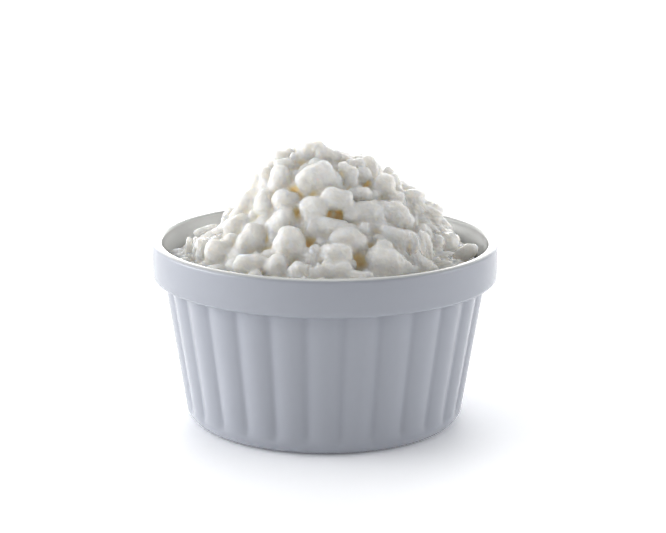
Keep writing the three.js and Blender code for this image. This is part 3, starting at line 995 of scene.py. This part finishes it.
@dataclass
class CheeseHeap:
    """The heap of cottage cheese: curds fused on a mound, with cream in the creases.

    Every row of the curds is one curd as it stands in a view from the eye: across,
    up, length, breadth, tilt in degrees and rise towards the eye. The shares are how
    far a vertex goes towards its neighbours' mean in a round of smoothing, and the
    pairs are the two ends of an S from none to full.
    """

    dish: Ramekin
    mound: Mound = field(default_factory=Mound)
    gap: float = 0.3
    voxel: float = 0.34
    triangles: int = 190_000
    hidden_below: float = 38.2
    core_bottom: float = 36.0
    core_clearance: float = 0.3
    core_wall_height: float = 44.0
    fill_heights: tuple = (36.7, 25.0)
    placed_form: CurdForm = CurdForm(24, 32, 0.2, (2.1, 3.3), 3711)
    strewn_form: CurdForm = CurdForm(20, 28, 0.24, (2.1, 3.4), 4)
    filler_form: CurdForm = CurdForm(12, 16, 0.3, (2.2, 4.0), 5)
    filler: Filler = Filler()
    fused_relax: float = 0.3
    last_relax: float = 0.4
    crease_rounds: int = 40
    crease_share: float = 0.28
    creamy_share: float = 0.5
    pocket_fade: Pair = (0.15, 0.5)
    hollow_rounds: int = 60
    hollow_share: float = 0.9
    hollow_full: float = 0.9
    pocket_glow_depths: Pair = (-0.2, 0.6)
    swells: tuple = (Swell(0.75, 4.2, 11), Swell(0.38, 2.2, 13))
    pitting: Swell = Swell(0.14, 1.1, 29)
    crumbs: Swell = Swell(1.3, 1.7, 23)
    crumb_floor: float = 0.2
    crumb_grain: Swell = Swell(0.4, 1.0, 31)
    hidden_crumbs: Swell = Swell(0.5, 7.0, 5)
    hidden_fade: Pair = (0.0, 0.3)
    hidden_from: float = 8.0
    curds: list = field(default_factory=lambda: [
        # the crown
        [-3.8, 23.7, 6.2, 3.8, -8, 1.2], [-6.5, 23.6, 3.2, 2.7, 10, -0.6],
        [-9.7, 23.3, 2.1, 1.6, 0, -0.3], [-11.8, 21.9, 4.5, 2.4, 3, 0.2], [0.4, 21.9, 4.8, 3.4, -8, 0.5],
        [2.9, 21.7, 2.7, 2.9, 60, 0.0], [5.0, 21.4, 2.7, 2.4, -40, 0.1], [-11.3, 19.3, 4.8, 3.2, 5, 0.2],
        [-7.5, 21.4, 3.2, 2.7, 0, -1.6], [-5.4, 21.7, 2.4, 3.2, 80, -1.2],
        [-12.3, 15.3, 6.9, 4.3, 84, 0.8], [-16.1, 15.3, 6.1, 2.9, 84, 0.0],
        [-14.5, 19.5, 2.1, 2.4, 60, -0.4],
        # the big curd and its neighbours
        [-2.4, 15.9, 9.2, 7.0, 28, 1.3], [1.6, 14.6, 6.0, 4.6, 70, -0.4], [4.5, 16.6, 6.9, 2.7, 88, -1.5],
        [6.9, 16.3, 5.6, 3.2, 84, 0.2], [6.1, 19.8, 2.4, 2.1, 0, -0.6], [8.5, 19.5, 3.2, 2.9, 80, -0.6],
        [12.0, 19.3, 6.1, 3.2, -62, 0.6], [10.1, 19.8, 3.2, 1.3, 70, 0.2],
        [15.2, 13.7, 6.9, 5.6, 62, 1.3], [17.0, 17.7, 2.7, 2.4, -30, 0.2],
        [18.9, 15.5, 3.7, 2.1, -70, 0.2], [9.6, 11.8, 4.5, 2.9, -6, 0.2], [7.4, 11.5, 2.4, 2.7, 80, -0.4],
        [12.8, 11.5, 3.2, 2.1, -10, -0.6], [-8.1, 15.5, 4.3, 2.7, 80, -2.6],
        # the upper slope
        [3.0, 10.3, 8.3, 5.4, -10, 2.8], [-3.3, 7.0, 7.7, 6.7, 100, 1.0], [-10.2, 9.7, 7.2, 5.9, -38, 1.0],
        [-15.8, 9.4, 6.0, 5.3, 60, 0.5], [-20.2, 9.8, 5.8, 5.0, 30, 0.4],
        [-22.6, 6.6, 5.4, 4.0, 50, 0.2],
        [-25.4, 6.5, 3.7, 2.9, 60, -0.6], [-18.5, 14.5, 4.3, 2.4, 80, -0.6],
        [-7.5, 6.5, 4.3, 2.4, 80, -2.4], [-17.9, 6.2, 4.3, 3.7, 20, -2.2],
        # the pale cluster
        [10.9, 6.7, 8.5, 5.9, -6, 0.6], [17.6, 6.2, 8.0, 6.9, -30, 0.5], [22.9, 9.4, 7.5, 5.9, 60, 0.9],
        [18.6, 10.2, 4.5, 3.7, 10, 0.9], [23.2, 12.9, 6.4, 1.6, -26, 0.6], [7.2, 6.5, 3.7, 4.3, 80, 0.4],
        [13.6, 3.0, 5.9, 3.2, -10, -0.5], [21.0, 4.6, 4.8, 3.2, -10, 0.0], [10.4, 2.7, 3.2, 2.4, 80, 0.2],
        [7.2, 9.4, 4.8, 1.1, -6, 0.4], [11.4, 9.4, 5.3, 1.1, 4, 0.4], [14.6, 8.6, 3.2, 2.1, 0, 0.3],
        # the middle
        [-11.8, 4.3, 7.7, 5.3, 34, 1.4], [-20.1, -1.0, 8.5, 6.7, 58, 1.4],
        [-9.4, -2.0, 9.4, 7.7, 96, 2.4], [-23.4, 2.8, 7.6, 5.2, 24, 0.8], [-26.8, 4.6, 4.0, 2.1, 76, 0.6],
        [-21.7, 2.7, 3.2, 2.4, 20, -1.4], [-2.7, 1.4, 5.3, 4.5, 60, -0.9], [2.1, 3.3, 7.7, 3.5, -5, 0.5],
        [6.8, -0.4, 8.8, 5.6, -20, 1.5], [2.9, -0.5, 3.7, 3.2, 60, 0.6], [19.4, 0.1, 7.7, 5.3, -12, 0.6],
        [14.6, 1.7, 3.7, 3.5, 80, -1.4], [7.2, 2.7, 4.3, 2.1, -20, 0.0],
        # along the front rim
        [-19.2, -7.2, 8.0, 5.0, 0, 2.0], [-5.8, -4.8, 4.2, 3.6, 30, -0.9],
        [-12.6, -8.0, 6.2, 5.1, 70, 0.6], [-6.7, -9.0, 5.3, 3.5, 0, 0.6], [-2.5, -5.0, 5.3, 3.7, 80, 0.4],
        [-2.2, -9.3, 4.3, 3.2, 20, 0.4], [3.2, -4.4, 7.0, 5.2, 4, 1.3], [3.5, -8.5, 6.4, 4.4, 0, 1.0],
        [9.6, -10.1, 5.1, 2.7, 0, 0.2], [15.2, -3.2, 5.9, 4.3, 60, 1.2],
        [16.8, -6.6, 10.7, 7.5, -28, 1.6], [21.0, -7.4, 4.8, 3.2, -62, 0.6],
        [0.7, -8.0, 4.8, 2.1, 80, 0.4],
        # the right end
        [28.0, 6.5, 5.9, 3.7, -32, 0.0], [28.3, 3.0, 5.6, 1.1, -26, 0.6],
        [24.0, -2.1, 9.1, 3.5, -74, 1.0], [26.6, -2.1, 8.0, 2.7, -76, 0.6],
        [29.9, -0.7, 3.7, 2.7, 80, 0.4], [32.6, -1.1, 5.8, 5.3, 20, 2.1], [37.0, -4.0, 7.4, 3.6, 20, 1.5],
        [31.5, -6.4, 6.9, 2.4, -16, 0.6], [32.3, -4.0, 4.3, 1.3, 4, 0.8],
        [28.5, -7.2, 3.2, 1.3, -34, 0.8], [25.3, -6.4, 5.3, 3.7, -60, 0.2],
        [26.4, 1.4, 4.3, 3.2, -40, 0.0], [30.7, 2.2, 4.3, 2.1, -30, -0.4],
        # the folds at the left end
        [-31.6, 1.9, 5.9, 2.4, 16, 0.2], [-31.0, 0.9, 7.5, 0.9, 22, 0.9], [-27.8, 1.9, 4.3, 0.9, 12, 0.9],
        [-32.1, -3.4, 6.7, 4.0, -60, 1.0], [-32.6, -1.0, 3.7, 1.1, 24, 0.9],
        [-27.6, -4.8, 8.0, 5.9, -16, 0.4], [-36.6, -3.4, 5.9, 1.9, 86, 0.6],
        [-34.8, -3.4, 6.4, 1.3, 88, 0.9], [-33.7, -4.8, 5.3, 1.3, 80, 0.5],
        [-24.9, -1.5, 5.3, 4.0, 70, 0.4], [-28.4, -2.6, 3.7, 0.9, -6, 0.6],
        [-36.1, -0.7, 3.2, 1.1, 12, 0.6],
    ])
    pockets: tuple = spots(
        (3.4, 5.9, 1.7), (1.4, 6.2, 1.1, 0.9), (9.0, -6.1, 1.7), (10.9, 14.9, 1.2, 0.6),
        (10.1, 17.0, 1.0, 0.5), (-8.2, 13.1, 1.6, 0.85), (-6.7, 11.5, 1.2, 0.5), (-3.5, 11.8, 1.2, 0.5),
        (-15.3, -0.8, 1.5, 0.55), (-15.2, -3.2, 1.6, 0.5), (-4.1, -2.0, 1.8), (-7.5, 6.5, 1.3, 0.6),
        (-7.5, -6.4, 1.4, 0.3), (-17.9, 5.7, 1.6, 0.25), (12.2, -2.1, 1.2, 0.4), (14.6, 2.2, 1.9, 0.3),
        (6.1, 13.7, 1.5, 0.5), (-6.8, 19.3, 1.8, 0.35), (4.5, 17.7, 1.6, 0.4), (21.3, 3.3, 1.5, 0.3),
    )
    wet_places: tuple = spots(
        (-32.0, -2.0, 6.0), (34.0, -3.0, 7.0), (26.0, -3.0, 5.0), (20.0, 11.0, 6.0, 0.6),
    )
    creamy_places: tuple = spots(
        (15.0, 6.0, 7.0, 0.7), (24.0, 5.0, 7.0, 0.8), (27.0, -3.0, 5.0, 0.7), (-25.0, -7.0, 7.0, 0.9),
        (-30.0, 1.0, 6.0, 0.8), (9.0, 20.0, 6.0, 0.8), (-9.0, 19.0, 6.0, 0.8), (4.0, -9.0, 6.0, 0.9),
        (-8.0, -9.0, 7.0, 0.9), (-21.0, -9.0, 4.0, 0.5), (-19.0, 11.0, 5.0, 0.6),
        (31.0, -6.0, 4.0, 0.6), (22.0, 13.0, 6.0, 0.8), (-23.0, 5.0, 5.0, 0.8),
    )
    crumbly_places: tuple = spots(
        (16.0, 6.5, 6.0, 0.8), (23.0, 8.0, 5.0, 0.7), (-3.2, -5.6, 3.6), (-5.5, -9.0, 3.6, 0.9),
        (-1.5, 22.5, 4.5, 0.6), (-9.5, 21.0, 4.0, 0.6), (6.0, 20.5, 4.0, 0.6), (10.0, 11.5, 3.5, 0.8),
        (-26.0, 7.0, 3.0, 0.5), (13.0, -4.0, 2.6, 0.7), (21.0, -5.0, 3.0, 0.6), (-19.0, -8.5, 2.6, 0.4),
        (27.0, 5.5, 4.0, 0.6), (1.0, -2.0, 2.6, 0.5),
    )
    folds: tuple = (
        Folds(Spot(-35.0, -3.6, 4.2), 86, 1.15, 0.65), Folds(Spot(-31.0, 1.4, 4.2), 18, 1.3, 0.8),
        Folds(Spot(25.0, -2.4, 4.5), -74, 1.6, 0.8), Folds(Spot(31.5, -6.0, 3.6), 12, 1.5, 0.7),
        Folds(Spot(26.5, 8.5, 3.6), -38, 1.5, 0.6), Folds(Spot(14.5, 9.5, 4.0), 6, 1.5, 0.35),
        Folds(Spot(30.5, 2.5, 3.6), -30, 1.4, 0.6),
    )

    def fuse(self, surfaces: list) -> Skin:
        """Fuses closed surfaces into one skin by a fine voxel remesh.

        Args:
            surfaces: Pairs of vertices and faces.

        Returns:
            The one outer skin.
        """
        vertices, faces, start = [], [], 0
        for points, blocks in surfaces:
            vertices.append(points)
            faces += [block + start for block in blocks]
            start += len(points)
        heap = new_object("curds", np.concatenate(vertices), faces)
        remesh = heap.modifiers.new("fuse", "REMESH")
        remesh.mode = "VOXEL"
        remesh.voxel_size = self.voxel * MM
        fused = heap.evaluated_get(bpy.context.evaluated_depsgraph_get()).to_mesh()
        points = np.zeros(len(fused.vertices) * 3)
        fused.vertices.foreach_get("co", points)
        corners = np.zeros(len(fused.loops), dtype=np.int32)
        fused.loops.foreach_get("vertex_index", corners)
        totals = np.zeros(len(fused.polygons), dtype=np.int32)
        fused.polygons.foreach_get("loop_total", totals)
        if np.any(totals != 4):
            raise ValueError("the remesh gave faces that aren't quads")
        mesh = heap.data
        bpy.data.objects.remove(heap)
        bpy.data.meshes.remove(mesh)
        return Skin(points.reshape(-1, 3) / MM, corners.reshape(-1, 4).astype(np.int64)).outermost()

    def relief(self, points: np.ndarray) -> np.ndarray:
        """Height of the curds' own relief: soft swells, and in some parts crumbly bumps.

        The bumps are the size of a noise over a floor, with a finer noise on top. They
        stand in the crumbly places, and here and there on the far side of the heap.

        Args:
            points: Places, one row each.

        Returns:
            One height for each place.
        """
        swell = sum(swell.over(points) for swell in self.swells)
        behind = self.hidden_crumbs.height * smoothstep(self.hidden_crumbs.shape(points), *self.hidden_fade)
        crumbly = np.where(points[:, 1] < self.hidden_from, 0.0, behind)
        crumbly = np.maximum(crumbly, self.mound.marked(points, self.crumbly_places))
        bumps = self.crumbs.height * (np.abs(self.crumbs.shape(points)) - self.crumb_floor)
        bumps = bumps + self.crumb_grain.over(points)
        return swell + crumbly * bumps + self.pitting.over(points)

    def shape(self, skin: Skin) -> None:
        """Turns the fused curds into moist ones that lie in the dish.

        Cream fills the creases, most in the creamy places and none in the pockets.
        Then every vertex moves out along its normal by the relief and the folds.

        Args:
            skin: The fused skin, which this changes.
        """
        skin.relax(1, self.fused_relax)
        open_places = smoothstep(self.mound.marked(skin.vertices, self.pockets), *self.pocket_fade)
        creamy = self.mound.marked(skin.vertices, self.creamy_places)
        share = self.crease_share + self.creamy_share * creamy
        skin.fill_creases(self.crease_rounds, share * (1 - open_places))
        height = self.relief(skin.vertices)
        height = height + sum(self.mound.folded(skin.vertices, folds) for folds in self.folds)
        skin.vertices += skin.normals() * height[:, None]
        skin.relax(1, self.last_relax)
        self.press_into_dish(skin)

    def press_into_dish(self, skin: Skin) -> None:
        """Brings what stands beyond the cavity's wall in to it, less the clearance.

        Args:
            skin: The skin, which this changes.
        """
        level = np.minimum(skin.vertices[:, 2], self.dish.spring_height)
        wall = self.dish.cavity_radius(level) - self.gap
        away = np.hypot(skin.vertices[:, 0], skin.vertices[:, 1])
        share = np.minimum(1, wall / np.maximum(away, 1e-9))
        skin.vertices[:, :2] *= share[:, None]

    def fill_profile(self) -> np.ndarray:
        """The plain fill's outline, the cavity's less the clearance.

        Returns:
            Points [r, z] from under the curds down to the floor.
        """
        height = np.array(self.fill_heights)
        side = np.stack([self.dish.cavity_radius(height) - self.gap, height], axis=-1)
        offset, floor = self.dish.body_wall + self.gap, self.dish.floor_height + self.gap
        corner = self.dish.corner_arc(offset, floor, self.dish.cavity_corner, steps=3)[::-1]
        return np.concatenate([side, corner])

    def closed_below(self, skin: Skin) -> tuple[np.ndarray, list, np.ndarray]:
        """Swaps the hidden underside for a plain fill down to the cavity's floor.

        Quads under the hidden level go. From every vertex of the edge that this
        leaves, a column of points runs down the cavity's wall and in to the axis.

        Args:
            skin: The fused heap.

        Returns:
            The vertices, the faces, and which of the skin's vertices come first in them.
        """
        kept = skin.quads[skin.vertices[skin.quads, 2].min(axis=1) > self.hidden_below]
        used, quads = np.unique(kept, return_inverse=True)
        quads = quads.reshape(-1, 4)
        vertices = skin.vertices[used]
        edges = np.concatenate([quads[:, [i, (i + 1) % 4]] for i in range(4)])
        key = edges[:, 0] * len(vertices) + edges[:, 1]
        back = edges[:, 1] * len(vertices) + edges[:, 0]
        rim, place = np.unique(edges[~np.isin(key, back)], return_inverse=True)
        start, end = place.reshape(-1, 2).T
        stations = self.fill_profile()
        angle = np.arctan2(vertices[rim, 1], vertices[rim, 0])
        fill = np.stack([
            stations[:, :1] * np.cos(angle), stations[:, :1] * np.sin(angle),
            np.repeat(stations[:, 1:], len(rim), axis=1)], axis=-1).reshape(-1, 3)
        pole = np.array([[0, 0, stations[-1, 1]]])
        ring = len(vertices) + np.arange(len(fill)).reshape(len(stations), len(rim))
        ring = np.concatenate([rim[None], ring])
        walls = np.stack([ring[:-1, end], ring[:-1, start], ring[1:, start], ring[1:, end]], axis=-1)
        last = np.full(len(start), len(vertices) + len(fill))
        floor = np.stack([ring[-1, end], ring[-1, start], last], axis=-1)
        return np.concatenate([vertices, fill, pole]), [quads, walls.reshape(-1, 4), floor], used

    def build(self) -> bpy.types.Object:
        """Makes the heap as one closed surface and dresses it.

        Its material reads three numbers at a vertex: how deep it lies in a gap, which sets its painted crease
        light, how strong the painted amber glow of the pockets is there, and how wet it is.

        Returns:
            The finished piece.
        """
        front = self.mound.front(self.curds)
        strewn = self.mound.strewn(front)
        small = self.mound.filled(self.filler, front.joined(strewn), self.pockets)
        log.info("curds: %d placed, %d strewn, %d filler", *(len(c.centres) for c in (front, strewn, small)))
        wall = float(self.dish.cavity_radius(np.array(self.core_wall_height)))
        wall = wall - self.gap - self.core_clearance
        skin = self.fuse([
            self.mound.core(self.core_bottom, wall, self.pockets),
            front.surfaces(self.placed_form),
            strewn.surfaces(self.strewn_form),
            small.surfaces(self.filler_form),
        ])
        log.info("fused heap: %d quads", len(skin.quads))
        self.shape(skin)
        hollow = skin.hollowness(self.hollow_rounds, self.hollow_share)
        # Painted glow: the amber of scattered light, strongest in the deepest parts of the pockets.
        painted_pocket_glow = self.mound.marked(skin.vertices, self.pockets) * smoothstep(hollow, *self.pocket_glow_depths)
        wet = self.mound.marked(skin.vertices, self.wet_places)
        vertices, faces, own = self.closed_below(skin)
        piece = make_piece("curd_heap", vertices, faces, "cottage_cheese")
        below = np.zeros(len(vertices) - len(own))
        # The gap depth drives the curds' painted crease light.
        for name, values in (("gap", np.clip(hollow / self.hollow_full, 0, 1)), ("painted_pocket_glow", painted_pocket_glow), ("wet", wet)):
            set_attribute(piece, name, np.concatenate([values[own], below]))
        self.lighten(piece)
        piece.data.materials.append(CurdFinish().material())
        return piece

    def lighten(self, piece: bpy.types.Object) -> None:
        """Merges the edges that matter least until the piece has its number of triangles.

        Args:
            piece: The piece, whose mesh this replaces.
        """
        count = sum(len(polygon.vertices) - 2 for polygon in piece.data.polygons)
        decimate = piece.modifiers.new("lighten", "DECIMATE")
        decimate.ratio = min(1, self.triangles / count)
        fine = piece.data
        evaluated = piece.evaluated_get(bpy.context.evaluated_depsgraph_get())
        piece.data = bpy.data.meshes.new_from_object(evaluated)
        piece.modifiers.clear()
        bpy.data.meshes.remove(fine)


# ------------------------------------------------------------------ finishes


def maths(tree: bpy.types.NodeTree, operation: str, *terms: float | Socket) -> Socket:
    """Result of a sum on up to three terms.

    Args:
        tree: Node tree to work in.
        operation: Name of the sum.
        terms: Numbers or outputs, in the sum's order.

    Returns:
        The result's output.
    """
    node = tree.nodes.new("ShaderNodeMath")
    node.operation = operation
    for socket, term in zip(node.inputs, terms):
        if isinstance(term, Socket):
            tree.links.new(term, socket)
        else:
            socket.default_value = term
    return node.outputs["Value"]


class Shader:
    """A material's node tree, with short calls for the nodes that the finishes use."""

    def __init__(self, name: str) -> None:
        """Starts a material that holds a Principled shader and its output.

        Args:
            name: Name of the material.
        """
        self.material = bpy.data.materials.new(name)
        self.material.use_nodes = True
        self.nodes = self.material.node_tree.nodes
        self.links = self.material.node_tree.links
        self.principled = next(n for n in self.nodes if n.type == "BSDF_PRINCIPLED")
        self.place = self.nodes.new("ShaderNodeTexCoord").outputs["Object"]

    def plain(self, **values: float | tuple) -> None:
        """Sets the shader's own sockets, named with _ for a blank."""
        for name, value in values.items():
            self.principled.inputs[name.replace("_", " ")].default_value = value

    def feed(self, socket: str, output: Socket) -> None:
        """Links an output to one of the shader's sockets."""
        self.links.new(output, self.principled.inputs[socket])

    def attribute(self, name: str) -> Socket:
        """Number stored on the mesh under a name.

        Args:
            name: Name of the attribute.

        Returns:
            Its output.
        """
        node = self.nodes.new("ShaderNodeAttribute")
        node.attribute_name = name
        return node.outputs["Fac"]

    def noise(self, grain: float, detail: float = 3.0) -> Socket:
        """Noise from 0 to 1, fixed to the object.

        Args:
            grain: Size of its lumps in millimetres.
            detail: Number of finer layers in it.

        Returns:
            The noise's output.
        """
        node = self.nodes.new("ShaderNodeTexNoise")
        node.inputs["Scale"].default_value = 1 / (grain * MM)
        node.inputs["Detail"].default_value = detail
        self.links.new(self.place, node.inputs["Vector"])
        return node.outputs["Fac"]

    def ranged(self, value: Socket, source: Pair, target: Pair) -> Socket:
        """A value's source range mapped to a target range, and clamped to it.

        Args:
            value: Output to map.
            source: The two ends of its range.
            target: What the two ends become.

        Returns:
            The mapped output.
        """
        node = self.nodes.new("ShaderNodeMapRange")
        self.links.new(value, node.inputs["Value"])
        for name, number in zip(("From Min", "From Max", "To Min", "To Max"), (*source, *target)):
            node.inputs[name].default_value = number
        return node.outputs["Result"]

    def mixed(self, share: Socket, first: Colour | Socket, second: Colour | Socket) -> Socket:
        """Blend of two colours.

        Args:
            share: Share of the second, from 0 to 1.
            first: Colour or output.
            second: Colour or output.

        Returns:
            The blend's output.
        """
        node = self.nodes.new("ShaderNodeMix")
        node.data_type = "RGBA"
        self.links.new(share, node.inputs["Factor"])
        colours = [s for s in node.inputs if s.type == "RGBA"]
        for socket, colour in zip(colours, (first, second)):
            if isinstance(colour, Socket):
                self.links.new(colour, socket)
            else:
                socket.default_value = (*colour, 1)
        return next(s for s in node.outputs if s.type == "RGBA")

    def bump(self, height: Socket, depth: float, strength: float) -> None:
        """Bump of a height field.

        Args:
            height: The field's output.
            depth: Millimetres from its low to its high.
            strength: Share of the bump that shows.
        """
        node = self.nodes.new("ShaderNodeBump")
        node.inputs["Strength"].default_value = strength
        node.inputs["Distance"].default_value = depth * MM
        self.links.new(height, node.inputs["Height"])
        self.feed("Normal", node.outputs["Normal"])


@dataclass(frozen=True)
class GlazeFinish:
    """Smooth white glaze over stoneware, with painted shade that makes the grooves darker and cooler, and
    painted light that makes the inside lighter.
    """

    body: Colour = (0.53, 0.545, 0.583)
    painted_groove_shade: Colour = (0.485, 0.50, 0.54)
    painted_inside_light: Colour = (0.75, 0.752, 0.74)
    groove_shade_depths: Pair = (0.45, 1.0)
    groove_shade_share: float = 0.55

    def material(self) -> bpy.types.Material:
        """Makes the glaze, with painted shade in the grooves and painted light inside.

        Returns:
            The material.
        """
        shader = Shader("white_glaze_finish")
        shader.plain(IOR=1.5, Roughness=0.3, Coat_Weight=0.7, Coat_Roughness=0.1)
        # Painted shade: the glaze is mixed darker and bluer where the grooves are deep.
        painted_groove_shade = shader.ranged(shader.attribute("groove"), self.groove_shade_depths, (0.0, self.groove_shade_share))
        glazed = shader.mixed(painted_groove_shade, self.body, self.painted_groove_shade)
        # Painted light: the inside of the dish is mixed to a lighter, neutral colour.
        shader.feed("Base Color", shader.mixed(shader.attribute("inside"), glazed, self.painted_inside_light))
        return shader.material


@dataclass(frozen=True)
class CurdFinish:
    """Moist white curds with patches of cream tone on their skins, painted lighter and warmer in the creases,
    and painted with an amber glow of scattered light deep in the pockets.

    Light goes scatter millimetres into the cheese, by the tint's share of each colour.
    """

    curd: Colour = (0.77, 0.766, 0.753)
    cream: Colour = (0.81, 0.807, 0.796)
    painted_crease_light: Colour = (0.89, 0.87, 0.82)
    amber_glow: Colour = (0.84, 0.75, 0.53)
    scatter: float = 6.5
    scatter_tint: Colour = (1.0, 0.92, 0.8)
    mottle_grain: float = 3.2
    mottle_range: Pair = (0.35, 0.65)
    gap_range: Pair = (0.15, 0.9)
    crease_light_share: float = 0.7
    pocket_glow_range: Pair = (0.1, 0.7)
    sheen_grain: float = 1.6
    sheen_range: Pair = (0.3, 0.7)
    roughness: Pair = (0.32, 0.5)
    wet_range: Pair = (0.1, 0.8)
    wet_roughness: float = 0.3
    skin_grain: float = 0.8
    skin_detail: float = 4
    skin_depth: float = 0.4
    skin_strength: float = 0.6

    def material(self) -> bpy.types.Material:
        """Makes the cheese: scattering curds, painted lighter in the creases and with an amber glow in the
        pockets, by how hollow the place is.

        Returns:
            The material.
        """
        shader = Shader("fresh_cheese_finish")
        shader.plain(Subsurface_Weight=1.0, Subsurface_Scale=self.scatter * MM, IOR=1.42,
                     Subsurface_Radius=self.scatter_tint, Coat_Weight=0.1, Coat_Roughness=0.2)
        # Painted light: deep creases are mixed lighter and warmer, to offset their shade.
        gap = shader.ranged(shader.attribute("gap"), self.gap_range, (0.0, self.crease_light_share))
        # Painted glow: the pockets are mixed to amber, for light scattered deep in them.
        painted_pocket_glow = shader.ranged(shader.attribute("painted_pocket_glow"), self.pocket_glow_range, (0.0, 1.0))
        mottled = shader.ranged(shader.noise(self.mottle_grain), self.mottle_range, (0.0, 1.0))
        skin = shader.mixed(mottled, self.curd, self.cream)
        shader.feed("Base Color", shader.mixed(painted_pocket_glow, shader.mixed(gap, skin, self.painted_crease_light), self.amber_glow))
        dry = shader.ranged(shader.noise(self.sheen_grain), self.sheen_range, self.roughness)
        wetness = shader.ranged(shader.attribute("wet"), self.wet_range, (1.0, self.wet_roughness))
        shader.feed("Roughness", maths(shader.material.node_tree, "MULTIPLY", dry, wetness))
        shader.bump(shader.noise(self.skin_grain, self.skin_detail), self.skin_depth, self.skin_strength)
        return shader.material


@dataclass(frozen=True)
class FloorFinish:
    """Plain pale sweep, lit a little from below like a light table."""

    colour: Colour = (0.965, 0.967, 0.975)
    glow: float = 0.155

    def material(self) -> bpy.types.Material:
        """Makes the floor's even matt white.

        Returns:
            The material.
        """
        shader = Shader("pale_sweep")
        pale = (*self.colour, 1)
        shader.plain(Roughness=0.7, Base_Color=pale, Emission_Color=pale, Emission_Strength=self.glow)
        return shader.material


# ------------------------------------------------------------------ the studio


@dataclass(frozen=True)
class Glow:
    """A broad glow of the room, which falls off as a power of the cosine from its middle.

    Azimuth is in degrees from straight behind the bowl towards its right.
    """

    azimuth: float
    elevation: float
    strength: float
    tightness: float = 5.0

    def direction(self) -> tuple[float, float, float]:
        """Direction from the bowl to the middle of the glow.

        Returns:
            A unit vector.
        """
        azimuth, elevation = math.radians(self.azimuth), math.radians(self.elevation)
        level = math.cos(elevation)
        return (math.sin(azimuth) * level, math.cos(azimuth) * level, math.sin(elevation))


def turned(first: np.ndarray, second: np.ndarray, angle: float) -> tuple[np.ndarray, np.ndarray]:
    """Two directions square to each other, both turned from the first to the second.

    Args:
        first: Unit vector.
        second: Unit vector square to the first.
        angle: Angle of the turn.

    Returns:
        The two turned vectors.
    """
    return (first * math.cos(angle) + second * math.sin(angle),
            second * math.cos(angle) - first * math.sin(angle))


@dataclass
class Studio:
    """Pale floor, a light tent that is bright at the sides and behind, and camera."""

    floor_side: float = 8000.0
    floor_lines: int = 5
    distance: float = 600.0
    elevation: float = math.radians(15.324)
    aim_height: float = 25.0
    pitch: float = math.radians(1.533)
    yaw: float = math.radians(0.205)
    roll: float = math.radians(0.37)
    lens: float = 120.24
    sensor: float = 36.0
    nearest: float = 10.0
    farthest: float = 50000.0
    contrast: float = 0.56
    glows: tuple = (
        Glow(0, 8, 3.12), Glow(-90, 8, 4.0), Glow(90, 8, 2.47),
        Glow(180, 42, 0.82), Glow(-135, 42, 0.11), Glow(0, 78, 1.9, 20.0),
    )

    def build_floor(self) -> None:
        """Lays the floor, a grid of two parameters that is level all over."""
        side = np.linspace(-self.floor_side / 2, self.floor_side / 2, self.floor_lines)
        x, y = np.meshgrid(side, side)
        vertices = np.stack([x.ravel(), y.ravel(), np.zeros(x.size)], axis=-1)
        index = np.arange(x.size).reshape(x.shape)
        quads = np.stack([index[:-1, :-1], index[:-1, 1:], index[1:, 1:], index[1:, :-1]], axis=-1)
        floor = new_object("floor", vertices, [quads.reshape(-1, 4)])
        floor.data.materials.append(FloorFinish().material())

    def build_room(self) -> None:
        """Lights the room with the sum of its glows, each strength times cosine to a power."""
        world = bpy.data.worlds.new("room")
        world.use_nodes = True
        tree = world.node_tree
        coordinate = tree.nodes.new("ShaderNodeTexCoord")
        total = 0.0
        for glow in reversed(self.glows):
            towards = tree.nodes.new("ShaderNodeVectorMath")
            towards.operation = "DOT_PRODUCT"
            tree.links.new(coordinate.outputs["Generated"], towards.inputs[0])
            towards.inputs[1].default_value = glow.direction()
            front = maths(tree, "MAXIMUM", towards.outputs["Value"], 0.0)
            falloff = maths(tree, "POWER", front, glow.tightness)
            total = maths(tree, "MULTIPLY_ADD", falloff, glow.strength, total)
        background = next(n for n in tree.nodes if n.type == "BACKGROUND")
        background.inputs["Color"].default_value = (1, 1, 1, 1)
        tree.links.new(total, background.inputs["Strength"])
        bpy.context.scene.world = world

    def build_camera(self) -> None:
        """Sets the camera by its distance, elevation and small turns."""
        ahead = np.array([0, math.cos(self.elevation), -math.sin(self.elevation)])
        right, up = RIGHT, np.cross(RIGHT, ahead)
        place = np.array([0, 0, self.aim_height]) - ahead * self.distance
        ahead, up = turned(ahead, up, self.pitch)
        ahead, right = turned(ahead, right, self.yaw)
        right, up = turned(right, up, self.roll)
        data = bpy.data.cameras.new("camera")
        data.sensor_width = self.sensor
        data.lens = self.lens
        data.clip_start = self.nearest * MM
        data.clip_end = self.farthest * MM
        camera = bpy.data.objects.new("camera", data)
        rows = np.stack([right, up, -ahead], axis=-1)
        camera.matrix_world = Matrix([[*rows[i], place[i] * MM] for i in range(3)] + [[0, 0, 0, 1]])
        bpy.context.scene.collection.objects.link(camera)
        bpy.context.scene.camera = camera

    def build(self) -> None:
        """Builds the floor, the room's light and the camera, and sets how tones show."""
        self.build_floor()
        self.build_room()
        self.build_camera()
        scene = bpy.context.scene
        scene.view_settings.view_transform = "Standard"
        scene.view_settings.look = "None"
        scene.view_settings.gamma = self.contrast
        scene.cycles.use_denoising = True


def main() -> None:
    """Builds the bowl's pieces and the studio."""
    dish = Ramekin()
    for builder in (dish, CheeseHeap(dish)):
        piece = builder.build()
        log.info("%s: %d faces", piece.name, len(piece.data.polygons))
    Studio().build()
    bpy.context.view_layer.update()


if __name__ == "__main__":
    main()
